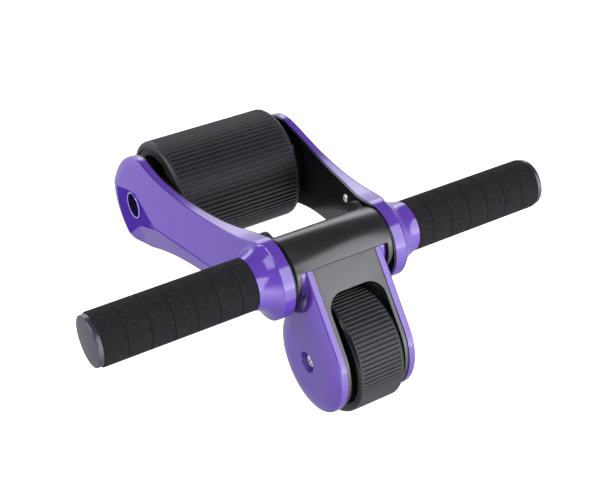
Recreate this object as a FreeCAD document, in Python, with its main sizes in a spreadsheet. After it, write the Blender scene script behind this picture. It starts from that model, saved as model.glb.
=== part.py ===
import FreeCAD, Part
import math
import os
import re
import Sketcher

# Two-wheel ab roller. Lengths in millimetres, angles in degrees.
# Built about the handle axis: X along the handle, Y to the rear roller, Z up.
sizes = {
    # stance
    "handle_height": 91.9,
    "roller_back": 142.1,
    "wheel_clear": 2.03,
    # handle, grips and end caps
    "tube_rad": 12.5,
    "tube_wall": 1.5,
    "grip_len": 103.7,
    "grip_rad": 17.5,
    "grip_edge": 1.0,
    "groove_first": 11.9,
    "groove_pitch": 15.3,
    "groove_width": 0.7,
    "groove_depth": 0.6,
    "cap_lip": 4.1,
    "cap_rad": 16.6,
    "cap_edge": 1.0,
    "cap_stem": 18.0,
    # arms, each a shell closed by an inner plate
    "arm_nose_back": 3.0,
    "arm_nose_drop": 5.75,
    "arm_nose_rad": 27.2,
    "arm_tail_rad": 34.4,
    "arm_top_sweep": 309.0,
    "arm_low_sweep": 226.0,
    "arm_depth": 14.0,
    "face_lean": 11.5,
    "bevel_lean": 15.0,
    "crease_front": 13.2,
    "crease_rear": 5.4,
    "crease_lip": 0.4,
    "crease_groove": 0.9,
    "crease_gap": 1.2,
    "shell_wall": 2.4,
    "plate_show": 1.5,
    "plate_spigot": 1.5,
    "plate_inset": 0.4,
    "nose_len": 22.6,
    "nose_rim": 8.7,
    "flare_mid": 15.4,
    "flare_mid_rad": 24.0,
    "flare_end_rad": 18.6,
    "socket_wall": 3.0,
    "eye_reach": 11.3,
    "tail_round": 8.0,
    "eye_rad": 7.5,
    "eye_lip": 0.9,
    "eye_proud": 0.8,
    "eye_seat": 8.0,
    "eye_boss_rad": 10.0,
    # centre housing
    "housing_rad": 21.7,
    "housing_wall": 1.5,
    "housing_end": 4.2,
    "window_ease": 0.6,
    "window_trail": 22.2,
    "ear_back": 20.0,
    "ear_up": 5.5,
    "ear_rad": 8.5,
    "ear_root": 16.0,
    # rear axle and screws
    "axle_rad": 5.0,
    "axle_bolt_rad": 2.5,
    "axle_bolt_len": 12.0,
    "axle_bolt_head_rad": 5.4,
    "axle_bolt_head": 3.2,
    "spacer_rad": 8.0,
    "spacer_len": 5.7,
    "screw_rad": 1.6,
    "screw_len": 6.0,
    "screw_head_rad": 3.0,
    "screw_head": 2.0,
    "screw_boss_rad": 4.0,
    "screw_sink": 0.8,
    # fork
    "fork_hub_rad": 19.4,
    "fork_steep": 72.0,
    "tread_show": 4.1,
    "fork_waist": 40.0,
    "wheel_side": 3.0,
    "cover_wall": 3.0,
    "cover_inset": 0.6,
    "fork_rim": 4.5,
    "fork_crown": 3.5,
    "fork_slope": 6.0,
    "wheel_room": 2.5,
    "arch_rise": 14.6,
    "arch_corner": 12.0,
    "fork_eye_rad": 6.0,
    "fork_eye_seat": 5.8,
    "pivot_bush_wall": 2.0,
    "pivot_bush_len": 12.0,
    "front_axle_rad": 4.0,
    "front_bolt_rad": 2.0,
    "front_bolt_len": 10.0,
    "front_bolt_head_rad": 4.4,
    "front_bolt_head": 2.8,
    # rear roller
    "roller_rad": 41.4,
    "roller_half": 48.2,
    "roller_edge": 2.9,
    "roller_shoulder": 2.4,
    "tread_wall": 4.4,
    "rib_groove_width": 1.3,
    "rib_groove_foot": 0.7,
    "rib_groove_depth": 1.1,
    "core_wall": 5.6,
    "core_inset": 0.6,
    "core_web": 5.0,
    "core_hub_rad": 13.0,
    "hub_recess": 2.2,
    "core_rib": 3.0,
    "core_rib_recess": 12.2,
    "bush_wall": 3.0,
    "bush_len": 14.0,
    "bush_proud": 3.4,
    # front wheel
    "wheel_rad": 40.1,
    "wheel_half": 18.0,
    "wheel_edge": 3.6,
    "wheel_shoulder": 3.2,
    "wheel_tread_wall": 6.0,
    "wheel_core_inset": 1.5,
    "wheel_core_wall": 4.0,
    "wheel_web": 5.0,
    "wheel_hub_rad": 10.5,
    "wheel_hub_inset": 0.5,
    "wheel_bush_wall": 2.5,
    "wheel_bush_len": 9.0,
    # fits
    "slip": 0.05,
    "gap": 0.3,
    "overrun": 4.0,
}

groove_count = 6
roller_ribs = 76
wheel_ribs = 72
core_ribs = 6

# arm cross-sections: place along the arm, splay and depth, each a share of its size
along_shares = (-0.6, -0.36, -0.14, 0.06, 0.18, 0.31, 0.55, 0.76, 0.92, 1.08, 1.3, 1.6)
splay_shares = (0.0, 0.0, 0.0, 0.0, 0.1, 0.36, 0.7, 0.92, 1.0, 1.0, 1.0, 1.0)
depth_shares = (0.643, 0.643, 0.671, 1.143, 1.296, 1.079, 0.879, 0.829, 0.907, 1.029, 1.1, 1.1)

# sections that carry the plate screws, with each screw's drop below the arm's middle line
screw_along_shares = (0.31, 0.92, 0.92)
screw_drop_shares = (-0.8, -0.8, 0.8)

# crown of a plate screw's head, and the fork plate's dome as (rise, inset) steps
screw_crown_share = 0.7
dome_shares = ((0.0, 0.0), (0.66, 1.0), (1.0, 2.3))

doc = FreeCAD.newDocument("ab_roller")
sheet = doc.addObject("Spreadsheet::Sheet", "Sizes")
for row, (name, value) in enumerate(sizes.items(), start=1):
    sheet.set("A%d" % row, name)
    sheet.set("B%d" % row, str(value))
    sheet.setAlias("B%d" % row, name)
doc.recompute()

# sizes that follow from the driving ones, from the front wheel outwards and then the rear roller
derived = {
    "wheel_ribbed": "(wheel_half - wheel_edge)",
    "wheel_core_half": "(wheel_half - wheel_core_inset)",
    "wheel_hub_half": "(wheel_half - wheel_hub_inset)",
    "wheel_drop": "(handle_height - wheel_rad)",
    "fork_reach": "max(wheel_rad + housing_rad + wheel_clear; wheel_drop / sin(fork_steep))",
    "wheel_fwd": "sqrt(fork_reach ^ 2 - wheel_drop ^ 2)",
    "fork_disc_rad": "(wheel_rad - tread_show)",
    "fork_step": "(fork_disc_rad - fork_hub_rad)",
    "fork_lean": "atan(wheel_drop / wheel_fwd)",
    "front_lean": "(fork_lean - asin(fork_step / fork_reach))",
    "hub_turn": "acos(fork_hub_rad / (housing_rad - housing_wall))",
    "window_front": "(90 deg + front_lean + hub_turn - window_ease * 1 deg)",
    "window_rear": "(fork_lean - window_trail * 1 deg)",
    "wheel_room_rad": "(wheel_rad + wheel_room)",
    "arch_foot": "sqrt(wheel_room_rad ^ 2 - fork_disc_rad ^ 2)",
    "arch_top": "(sqrt(fork_reach ^ 2 - fork_step ^ 2) - arch_foot - arch_rise)",
    "wheel_bay": "(wheel_half + wheel_side)",
    "cover_half": "(wheel_bay + cover_wall)",
    "fork_half": "(cover_half + fork_rim + fork_crown + gap)",
    "fork_eye_floor": "(fork_half - gap - fork_eye_seat)",
    "window_half": "(fork_half + gap)",
    "housing_half": "(window_half + housing_end)",
    "arm_gap_front": "(housing_half + gap + plate_show)",
    "grip_in": "(arm_gap_front + nose_len)",
    "grip_end": "(grip_in + grip_len)",
    "tube_bore": "(tube_rad + slip)",
    "tube_free": "(tube_rad + gap)",
    "roller_drop": "(handle_height - roller_rad)",
    "roller_ribbed": "(roller_half - roller_edge)",
    "core_hub_half": "(roller_half - hub_recess)",
    "core_rib_half": "(roller_half - core_rib_recess)",
    "bush_end": "(core_hub_half + bush_proud)",
    "arm_gap_rear": "(bush_end + spacer_len + 2 * gap + plate_show)",
    "axle_face": "(arm_gap_rear + eye_reach)",
    "tail_flat": "(axle_face - eye_proud)",
    "eye_floor": "(axle_face - eye_seat)",
    "face_reach": "(arm_tail_rad + crease_rear + overrun)",
    "bevel_reach": "(arm_tail_rad - crease_rear + overrun)",
    "handle_y": "(-((roller_back + roller_rad) - (wheel_fwd + wheel_rad)) / 2)",
}


def bound(text):
    """Expression in the sheet's sizes alone, with each one's cell named."""
    def cell(match):
        word = match[0]
        if word in derived:
            return bound(derived[word])
        return "Sizes." + word if word in sizes else word
    return re.sub(r"[a-z]\w*", cell, text)


def number(text):
    """Value of an expression in the sheet's sizes."""
    result = sheet.evalExpression(bound(text))
    return float(getattr(result, "Value", result))


def bind(item, prop, text):
    item.setExpression(prop, bound(text))


def seat(item, y="0", z="0"):
    """Places a finished sub-part, y and z counted from the handle axis."""
    bind(item, "Placement.Base.y", "handle_y + %s" % y)
    bind(item, "Placement.Base.z", "handle_height + %s" % z)
    return item


def new_body(label):
    return doc.addObject("PartDesign::Body", label)


def origin_part(body, role):
    return next(f for f in body.Origin.OriginFeatures if f.Role == role)


def new_sketch(body, plane, shift="0"):
    """Sketch on one of the body's own planes, moved along the plane's normal."""
    sketch = body.newObject("Sketcher::SketchObject", body.Name + "_sketch")
    sketch.AttachmentSupport = [(origin_part(body, plane), "")]
    sketch.MapMode = "FlatFace"
    if shift != "0":
        bind(sketch, "AttachmentOffset.Base.z", shift)
    return sketch


def tie(sketch, kind, geo, pos, text):
    """Ties a point's distance from the sketch's origin to a size."""
    if text == "0":
        axis = -2 if kind == "DistanceX" else -1
        sketch.addConstraint(Sketcher.Constraint("PointOnObject", geo, pos, axis))
        return
    index = sketch.addConstraint(Sketcher.Constraint(kind, -1, 1, geo, pos, number(text)))
    bind(sketch, "Constraints[%d]" % index, text)


def tie_radius(sketch, geo, text):
    index = sketch.addConstraint(Sketcher.Constraint("Radius", geo, number(text)))
    bind(sketch, "Constraints[%d]" % index, text)


def polygon(sketch, points):
    """Closed outline of straight edges through points given as expressions."""
    corners = [FreeCAD.Vector(number(u), number(v), 0) for u, v in points]
    count = len(corners)
    for i in range(count):
        sketch.addGeometry(Part.LineSegment(corners[i], corners[(i + 1) % count]))
    for i in range(count):
        sketch.addConstraint(Sketcher.Constraint("Coincident", i, 2, (i + 1) % count, 1))
    for i, (u, v) in enumerate(points):
        tie(sketch, "DistanceX", i, 1, u)
        tie(sketch, "DistanceY", i, 1, v)
    return sketch


def circle(sketch, u, v, radius):
    centre = FreeCAD.Vector(number(u), number(v), 0)
    geo = sketch.addGeometry(Part.Circle(centre, FreeCAD.Vector(0, 0, 1), number(radius)))
    if u == "0" and v == "0":
        sketch.addConstraint(Sketcher.Constraint("Coincident", geo, 3, -1, 1))
    else:
        tie(sketch, "DistanceX", geo, 3, u)
        tie(sketch, "DistanceY", geo, 3, v)
    tie_radius(sketch, geo, radius)
    return sketch


def rounded_top(sketch, half, low, high, corner):
    """Arch: straight sides from low, a flat top at high and round corners."""
    u, v1, v2, r = number(half), number(low), number(high), number(corner)
    feet = [FreeCAD.Vector(-u, v1, 0), FreeCAD.Vector(u, v1, 0)]
    spring = [FreeCAD.Vector(-u, v2 - r, 0), FreeCAD.Vector(u, v2 - r, 0)]
    crown = [FreeCAD.Vector(r - u, v2, 0), FreeCAD.Vector(u - r, v2, 0)]
    bends = [FreeCAD.Vector(r - u, v2 - r, 0), FreeCAD.Vector(u - r, v2 - r, 0)]
    sketch.addGeometry(Part.LineSegment(feet[0], feet[1]))
    sketch.addGeometry(Part.LineSegment(feet[1], spring[1]))
    sketch.addGeometry(arc_between(bends[1], r, spring[1], crown[1]))
    sketch.addGeometry(Part.LineSegment(crown[1], crown[0]))
    sketch.addGeometry(arc_between(bends[0], r, crown[0], spring[0]))
    sketch.addGeometry(Part.LineSegment(spring[0], feet[0]))
    for geo, following, kind in ((5, 0, "Coincident"), (0, 1, "Coincident"), (1, 2, "Tangent"),
                                 (2, 3, "Tangent"), (3, 4, "Tangent"), (4, 5, "Tangent")):
        sketch.addConstraint(Sketcher.Constraint(kind, geo, 2, following, 1))
    for geo in (1, 5):
        sketch.addConstraint(Sketcher.Constraint("Vertical", geo))
    sketch.addConstraint(Sketcher.Constraint("Horizontal", 3))
    tie(sketch, "DistanceX", 0, 1, "-" + half)
    tie(sketch, "DistanceX", 0, 2, half)
    tie(sketch, "DistanceY", 0, 1, low)
    tie(sketch, "DistanceY", 0, 2, low)
    tie(sketch, "DistanceY", 3, 1, high)
    tie_radius(sketch, 2, corner)
    tie_radius(sketch, 4, corner)
    return sketch


def arc_between(centre, radius, first, last):
    """Counter-clockwise arc from the point first to the point last."""
    ring = Part.Circle(centre, FreeCAD.Vector(0, 0, 1), radius)
    start = math.atan2(first.y - centre.y, first.x - centre.x)
    end = math.atan2(last.y - centre.y, last.x - centre.x)
    if end <= start:
        end += 2 * math.pi
    return Part.ArcOfCircle(ring, start, end)


def tangent_points(c1, r1, c2, r2, side, sweep):
    """Touch points of a side on two rounds, and its centre where it is a hollow sweep."""
    along = c2 - c1
    heading = math.atan2(along.y, along.x)
    if sweep is None:
        turn = heading + side * math.acos((r1 - r2) / along.Length)
        normal = FreeCAD.Vector(math.cos(turn), math.sin(turn), 0)
        return c1 + normal * r1, c2 + normal * r2, None
    a, b = sweep + r1, sweep + r2
    turn = heading + side * math.acos((a * a + along.Length ** 2 - b * b) / (2 * a * along.Length))
    centre = c1 + FreeCAD.Vector(math.cos(turn), math.sin(turn), 0) * a
    return c1 + (centre - c1) * (r1 / a), c2 + (centre - c2) * (r2 / b), centre


def link_outline(sketch, first, last, left=None, right=None):
    """Two rounds (u, v, radius) joined on each side by a straight or a hollow sweep."""
    c1, c2 = [FreeCAD.Vector(number(u), number(v), 0) for u, v, _ in (first, last)]
    r1, r2 = number(first[2]), number(last[2])
    touch = {}
    for side, sweep in ((1, left), (-1, right)):
        radius = None if sweep is None else number(sweep)
        touch[side] = tangent_points(c1, r1, c2, r2, side, radius)
    sketch.addGeometry(arc_between(c1, r1, touch[1][0], touch[-1][0]))
    sketch.addGeometry(arc_between(c2, r2, touch[-1][1], touch[1][1]))
    for geo, side, sweep in ((2, 1, left), (3, -1, right)):
        near, far, centre = touch[side]
        if sweep is None:
            sketch.addGeometry(Part.LineSegment(near, far))
            at_near, at_far = 1, 2
        else:
            ends = (near, far) if side == 1 else (far, near)
            sketch.addGeometry(arc_between(centre, number(sweep), *ends))
            at_near, at_far = (1, 2) if side == 1 else (2, 1)
        sketch.addConstraint(Sketcher.Constraint("Tangent", 0, 1 if side == 1 else 2, geo, at_near))
        sketch.addConstraint(Sketcher.Constraint("Tangent", 1, 2 if side == 1 else 1, geo, at_far))
        if sweep is not None:
            tie_radius(sketch, geo, sweep)
    for geo, (u, v, radius) in ((0, first), (1, last)):
        if u == "0" and v == "0":
            sketch.addConstraint(Sketcher.Constraint("Coincident", geo, 3, -1, 1))
        else:
            tie(sketch, "DistanceX", geo, 3, u)
            tie(sketch, "DistanceY", geo, 3, v)
        tie_radius(sketch, geo, radius)
    return sketch


def turned(label, *profiles):
    """Body of revolution about X from (length, radius) outlines."""
    body = new_body(label)
    for points in profiles:
        sketch = polygon(new_sketch(body, "XY_Plane"), points)
        turn = body.newObject("PartDesign::Revolution", label + "_turn")
        turn.Profile = sketch
        turn.ReferenceAxis = (sketch, ["H_Axis"])
        turn.Angle = 360
    return body


def ring(x1, x2, inner, outer):
    """Profile of a plain sleeve or disc for turned()."""
    return [(x1, inner), (x2, inner), (x2, outer), (x1, outer)]


def pad(body, sketch, length, symmetric=False):
    feature = body.newObject("PartDesign::Pad", body.Name + "_pad")
    feature.Profile = sketch
    feature.SideType = "Symmetric" if symmetric else "One side"
    bind(feature, "Length", length)
    return feature


def pocket(body, sketch, length, symmetric=False, along=False):
    """Cuts against the sketch's normal, or along it."""
    feature = body.newObject("PartDesign::Pocket", body.Name + "_cut")
    feature.Profile = sketch
    feature.SideType = "Symmetric" if symmetric else "One side"
    feature.Reversed = along
    bind(feature, "Length", length)
    return feature


def loft(body, sketches, ruled=False):
    feature = body.newObject("PartDesign::AdditiveLoft", body.Name + "_loft")
    feature.Profile = sketches[0]
    feature.Sections = sketches[1:]
    feature.Ruled = ruled
    return feature


def spread(body, feature, count):
    """Repeats a feature evenly round the X axis."""
    pattern = body.newObject("PartDesign::PolarPattern", body.Name + "_round")
    pattern.Originals = [feature]
    pattern.Axis = (origin_part(body, "X_Axis"), [""])
    pattern.Angle = 360
    pattern.Occurrences = count
    body.Tip = pattern
    return pattern


def fuse(label, *items):
    joined = doc.addObject("Part::MultiFuse", label)
    joined.Shapes = list(items)
    return joined


def common(label, *items):
    shared = doc.addObject("Part::MultiCommon", label)
    shared.Shapes = list(items)
    return shared


def cut(label, base, tool):
    rest = doc.addObject("Part::Cut", label)
    rest.Base = base
    rest.Tool = tool
    return rest


def mirror(label, source):
    image = doc.addObject("Part::Mirroring", label)
    image.Source = source
    image.Normal = FreeCAD.Vector(1, 0, 0)
    return image


def pair(label, source):
    """A piece and its mirror image as one group."""
    group = doc.addObject("Part::Compound", label)
    group.Links = [source, mirror(label + "_image", source)]
    return group


def rod(name, x1, x2, radius, y="0", z="0"):
    """Cylinder along X between two places, for booleans."""
    item = doc.addObject("Part::Cylinder", name)
    item.Placement.Rotation = FreeCAD.Rotation(FreeCAD.Vector(0, 1, 0), 90)
    bind(item, "Radius", radius)
    bind(item, "Height", "%s - (%s)" % (x2, x1))
    bind(item, "Placement.Base.x", x1)
    if y != "0":
        bind(item, "Placement.Base.y", y)
    if z != "0":
        bind(item, "Placement.Base.z", z)
    return item


# Handle tube, foam grips and end caps
def build_handle():
    bore = "tube_rad - tube_wall"
    tube = turned("handle_tube", ring("-grip_end", "grip_end", bore, "tube_rad"))

    foam = [("grip_in", "tube_bore"), ("grip_end", "tube_bore")]
    foam += [("grip_end", "grip_rad - grip_edge"), ("grip_end - grip_edge", "grip_rad")]
    for i in reversed(range(groove_count)):
        middle = "grip_in + groove_first + %d * groove_pitch" % i
        foam.append((middle + " + groove_width / 2", "grip_rad"))
        foam.append((middle, "grip_rad - groove_depth"))
        foam.append((middle + " - groove_width / 2", "grip_rad"))
    foam += [("grip_in + grip_edge", "grip_rad"), ("grip_in", "grip_rad - grip_edge")]
    grip = turned("right_grip", foam)

    face = "grip_end + cap_lip"
    stem = bore + " - slip"
    plug = [("grip_end - cap_stem", "0"), (face, "0"), (face, "cap_rad - cap_edge")]
    plug += [(face + " - cap_edge", "cap_rad"), ("grip_end", "cap_rad"), ("grip_end", stem)]
    plug += [("grip_end - cap_stem", stem)]
    cap = turned("right_end_cap", plug)
    for item in (tube, grip, cap):
        seat(item)
    return [tube, grip, mirror("left_grip", grip), cap, mirror("left_end_cap", cap)]


# Black tube between the arms, with the window that the fork swings in
def build_housing():
    body = new_body("centre_housing")
    inside = "housing_rad - housing_wall"
    outline = [("-housing_half", "0"), ("housing_half", "0"), ("housing_half", "housing_rad")]
    outline += [("-housing_half", "housing_rad")]
    sketch = polygon(new_sketch(body, "XY_Plane"), outline)
    turn = body.newObject("PartDesign::Revolution", "housing_turn")
    turn.Profile = sketch
    turn.ReferenceAxis = (sketch, ["H_Axis"])
    turn.Angle = 360

    # ears that seat on the inner plates behind the tube
    root = ("0", "0", "ear_root")
    tip = ("ear_back", "ear_up", "ear_rad")
    depth = "housing_half - window_half"
    for start in ("window_half", "-housing_half"):
        pad(body, link_outline(new_sketch(body, "YZ_Plane", start), root, tip), depth)

    hollow = circle(new_sketch(body, "YZ_Plane"), "0", "0", inside)
    pocket(body, hollow, "2 * window_half", symmetric=True)
    bore = circle(new_sketch(body, "YZ_Plane"), "0", "0", "tube_bore")
    pocket(body, bore, "2 * arm_gap_front", symmetric=True)

    far = "4 * housing_rad"
    edges = []
    for angle in ("window_front", "window_rear"):
        edges.append(("%s * cos(%s)" % (far, angle), "%s * sin(%s)" % (far, angle)))
    window = [("0", "0"), edges[0], ("-" + far, "-" + far), (far, "-" + far), edges[1]]
    pocket(body, polygon(new_sketch(body, "YZ_Plane"), window), "2 * window_half", symmetric=True)
    return [seat(body)]


# Side outline of an arm, drawn in by inset
def arm_outline(label, inset):
    body = new_body(label)
    nose = ("arm_nose_back", "-arm_nose_drop", "arm_nose_rad - " + inset)
    tail = ("roller_back", "-roller_drop", "arm_tail_rad - " + inset)
    sketch = new_sketch(body, "YZ_Plane")
    link_outline(sketch, nose, tail, "arm_top_sweep + " + inset, "arm_low_sweep + " + inset)
    pad(body, sketch, "arm_gap_rear + 2 * arm_depth")
    return body


def arm_inside(i):
    return "(arm_gap_front + %s * (arm_gap_rear - arm_gap_front))" % splay_shares[i]


def crease_height(i):
    rise = "(roller_drop + crease_rear - crease_front)"
    return "(-crease_front - %s * %s)" % (along_shares[i], rise)


# Solid through the arm's cross-sections; section(i) gives the corners at station i
def arm_loft(label, section):
    body = new_body(label)
    sketches = []
    for i in reversed(range(len(along_shares))):
        sketch = new_sketch(body, "XZ_Plane", "-(%s) * roller_back" % along_shares[i])
        sketches.append(polygon(sketch, section(i)))
    loft(body, sketches)
    return body


# Leaning main face, crease groove and lower bevel with its lip, all moved in by skin
def arm_section(near, skin):
    def corners(i):
        inside = arm_inside(i) + near
        crease = "%s + arm_depth * %s - %s" % (arm_inside(i), depth_shares[i], skin)
        height = crease_height(i)
        top = "%s + face_reach" % height
        foot = "%s - bevel_reach" % height
        face = "%s - face_reach * tan(face_lean)" % crease
        bevel = "%s + crease_lip - bevel_reach * tan(bevel_lean)" % crease
        lip = ("%s + crease_lip" % crease, "%s - crease_gap / 2" % height)
        groove = ("%s - crease_groove" % crease, height)
        edge = (crease, "%s + crease_gap / 2" % height)
        return [(inside, foot), (bevel, foot), lip, groove, edge, (face, top), (inside, top)]
    return corners


def plate_section(near, far):
    def corners(i):
        low = "%s - bevel_reach" % crease_height(i)
        high = "%s + face_reach" % crease_height(i)
        return ring(arm_inside(i) + near, arm_inside(i) + far, low, high)
    return corners


def screw_place(n):
    """Place of a plate screw: section number, y and z."""
    i = along_shares.index(screw_along_shares[n])
    y = "(%s * roller_back)" % along_shares[i]
    z = "(%s - %s * arm_nose_rad)" % (crease_height(i), screw_drop_shares[n])
    return i, y, z


def tail_corner(name, inset):
    """Block less a round: what the arm's rear outer edge loses, seen from above."""
    x, y = "tail_flat - tail_round", "roller_back + arm_tail_rad - tail_round"
    base = "-roller_drop - 2 * arm_tail_rad"
    block = doc.addObject("Part::Box", name + "_block")
    bind(block, "Length", "2 * arm_depth")
    bind(block, "Width", "2 * arm_depth")
    post = doc.addObject("Part::Cylinder", name + "_post")
    bind(post, "Radius", "tail_round - " + inset)
    for item in (block, post):
        bind(item, "Height", "4 * arm_tail_rad")
        bind(item, "Placement.Base.x", x)
        bind(item, "Placement.Base.y", y)
        bind(item, "Placement.Base.z", base)
    return cut(name, block, post)


def beyond(name, x):
    """Block that holds all of an arm outside the place x."""
    block = doc.addObject("Part::Box", name)
    bind(block, "Length", "2 * arm_depth")
    bind(block, "Width", "2 * roller_back")
    bind(block, "Height", "4 * arm_tail_rad")
    bind(block, "Placement.Base.x", x)
    bind(block, "Placement.Base.z", "-roller_drop - 2 * arm_tail_rad")
    return block


# Round front of the arm from x = start, drawn in by skin, and its narrowing towards the grip
def flare_base(label, start, skin):
    body = new_body(label)
    centre = ("arm_nose_back", "-arm_nose_drop")
    base = "(arm_gap_front + nose_rim)"
    front = circle(new_sketch(body, "YZ_Plane", start), *centre, "arm_nose_rad - " + skin)
    pad(body, front, "%s - (%s)" % (base, start))
    root = circle(new_sketch(body, "YZ_Plane", base), *centre, "arm_nose_rad - plate_inset - " + skin)
    middle = circle(new_sketch(body, "YZ_Plane", "arm_gap_front + flare_mid"),
                    "arm_nose_back / 2", "-arm_nose_drop / 2", "flare_mid_rad - " + skin)
    return body, [root, middle]


def build_flare():
    body, rounds = flare_base("arm_flare", "arm_gap_front + gap", "0")
    end = circle(new_sketch(body, "YZ_Plane", "grip_in"), "0", "0", "flare_end_rad")
    loft(body, rounds + [end])
    # behind the handle the arm itself forms the inner side
    near, far = "arm_gap_front - overrun", "arm_gap_front + nose_rim / 2"
    step = ring(near, far, "arm_nose_back + tube_rad", "2 * arm_nose_rad")
    pocket(body, polygon(new_sketch(body, "XY_Plane"), step), "4 * arm_nose_rad", symmetric=True)
    return body


# Arm shell: form trimmed to the outline, hollowed, with sockets for tube, axle and screws
def build_arms():
    form = common("arm_form", arm_loft("arm_skin", arm_section("", "0")), arm_outline("arm_side", "0"))
    eye = rod("arm_eye", "arm_gap_rear", "axle_face", "eye_rad + eye_lip", "roller_back", "-roller_drop")
    faceted = cut("arm_faceted", form, beyond("axle_facet", "tail_flat"))
    rounded = cut("arm_rounded", faceted, tail_corner("tail_edge", "0"))
    full = fuse("arm_full", rounded, eye, build_flare())

    room = common("arm_room", arm_loft("arm_core", arm_section(" - overrun", "shell_wall")),
                  arm_outline("arm_side_in", "shell_wall"))
    nose_room, rounds = flare_base("nose_room", "arm_gap_front - overrun", "(shell_wall + gap)")
    loft(nose_room, rounds)
    rooms = fuse("arm_rooms", room, nose_room)
    walled = cut("arm_walled", rooms, beyond("axle_wall", "tail_flat - shell_wall"))
    hollow = cut("arm_hollow", walled, tail_corner("tail_wall", "shell_wall"))
    socket = rod("tube_socket", "arm_gap_front", "grip_in", "tube_rad + socket_wall")
    eye_boss = rod("eye_boss", "arm_gap_front", "axle_face", "eye_boss_rad", "roller_back", "-roller_drop")
    bosses = [socket, eye_boss]
    for n in range(len(screw_along_shares)):
        i, y, z = screw_place(n)
        bosses.append(rod("screw_boss", "arm_gap_front", arm_inside(i) + " + arm_depth",
                          "screw_boss_rad", y, z))
    plate_room = arm_loft("plate_room", plate_section(" - 2 * overrun", " + plate_spigot"))
    posts = cut("arm_posts", fuse("arm_bosses", *bosses), plate_room)
    body = cut("arm_hollowed", full, cut("arm_space", hollow, posts))

    # holes for the tube, the axle and the screws
    tools = []
    tools.append(rod("tube_way", "arm_gap_front - overrun", "grip_in + overrun", "tube_bore"))
    tools.append(rod("axle_way", "arm_gap_front", "axle_face", "axle_rad + slip",
                     "roller_back", "-roller_drop"))
    tools.append(rod("eye_way", "eye_floor", "axle_face + overrun", "eye_rad",
                     "roller_back", "-roller_drop"))
    for n in range(len(screw_along_shares)):
        i, y, z = screw_place(n)
        tools.append(rod("screw_way", arm_inside(i), "%s + screw_len" % arm_inside(i),
                         "screw_rad + slip", y, z))
    shell = cut("right_arm_shell", body, fuse("arm_holes", *tools))

    # inner plate: a visible sheet with a spigot that fits the shell
    slab = arm_loft("plate_slab", plate_section(" - plate_show", " - slip"))
    sheet_part = common("plate_sheet", slab, arm_outline("plate_side", "plate_inset"))
    tongue = arm_loft("tongue_slab", plate_section(" - plate_show / 2", " + plate_spigot"))
    spigot_part = common("plate_tongue", tongue, arm_outline("tongue_side", "(shell_wall + gap + slip)"))
    holes = [rod("plate_tube_way", "arm_gap_front - 2 * overrun", "arm_gap_rear", "tube_bore")]
    holes.append(rod("plate_axle_way", "arm_gap_front", "axle_face", "axle_rad + slip",
                     "roller_back", "-roller_drop"))
    for n in range(len(screw_along_shares)):
        i, y, z = screw_place(n)
        holes.append(rod("plate_screw_way", arm_inside(i) + " - overrun", arm_inside(i) + " + overrun",
                         "screw_rad + slip", y, z))
        holes.append(rod("plate_screw_seat", arm_inside(i) + " - overrun",
                         arm_inside(i) + " - plate_show + screw_sink", "screw_head_rad + gap", y, z))
    full_plate = fuse("plate_full", sheet_part, spigot_part)
    plate = cut("right_inner_plate", full_plate, fuse("plate_holes", *holes))

    for item in (shell, plate):
        seat(item)
    return [shell, mirror("left_arm_shell", shell), plate, mirror("left_inner_plate", plate)]


# Axle between two recess floors, drilled at both ends for its screws
def build_axle(name, floor, radius, bolt):
    end = floor + " - slip"
    drilled = "%s - %s_len" % (end, bolt)
    hole = "%s_rad + slip" % bolt
    half = [(drilled, "0"), (drilled, hole), (end, hole), (end, radius)]
    other = [("-(%s)" % x, r) for x, r in reversed(half)]
    axle = turned(name, half + other)

    tip = "%s - %s_len + gap" % (floor, bolt)
    top = "%s + %s_head" % (floor, bolt)
    profile = [(tip, "0"), (top, "0"), (top, bolt + "_head_rad"), (floor, bolt + "_head_rad")]
    profile += [(floor, bolt + "_rad"), (tip, bolt + "_rad")]
    return axle, pair(name + "_screws", turned(name + "_screw", profile))


# Rear axle with its end screws, spacers and the inner plates' screws
def build_rear_fixings():
    axle, bolts = build_axle("rear_axle", "eye_floor", "axle_rad", "axle_bolt")

    sleeve = ring("bush_end + gap", "bush_end + gap + spacer_len", "axle_rad + slip", "spacer_rad")
    spacers = pair("axle_spacers", turned("axle_spacer", sleeve))
    for item in (axle, bolts, spacers):
        seat(item, "roller_back", "-roller_drop")

    screws = []
    for n in range(len(screw_along_shares)):
        i, y, z = screw_place(n)
        face = arm_inside(i) + " - plate_show + screw_sink"
        top, tip = face + " - screw_head", face + " + screw_len"
        shank = [(top, "0"), (tip, "0"), (tip, "screw_rad"), (face, "screw_rad"), (face, "screw_head_rad")]
        shank.append((top, "screw_head_rad * %s" % screw_crown_share))
        screw = turned("arm_screw_%d" % (n + 1), shank)
        bind(screw, "Placement.Base.y", y)
        bind(screw, "Placement.Base.z", z)
        screws += [screw, mirror("arm_screw_%d_image" % (n + 1), screw)]
    group = doc.addObject("Part::Compound", "arm_screws")
    group.Links = screws
    seat(group)
    return [axle, bolts, spacers, group]


# Side outline of the fork, drawn in by inset
def fork_outline(sketch, inset):
    hub = ("0", "0", "fork_hub_rad - " + inset)
    disc = ("-wheel_fwd", "-wheel_drop", "fork_disc_rad - " + inset)
    return link_outline(sketch, hub, disc, left="fork_waist + " + inset)


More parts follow.
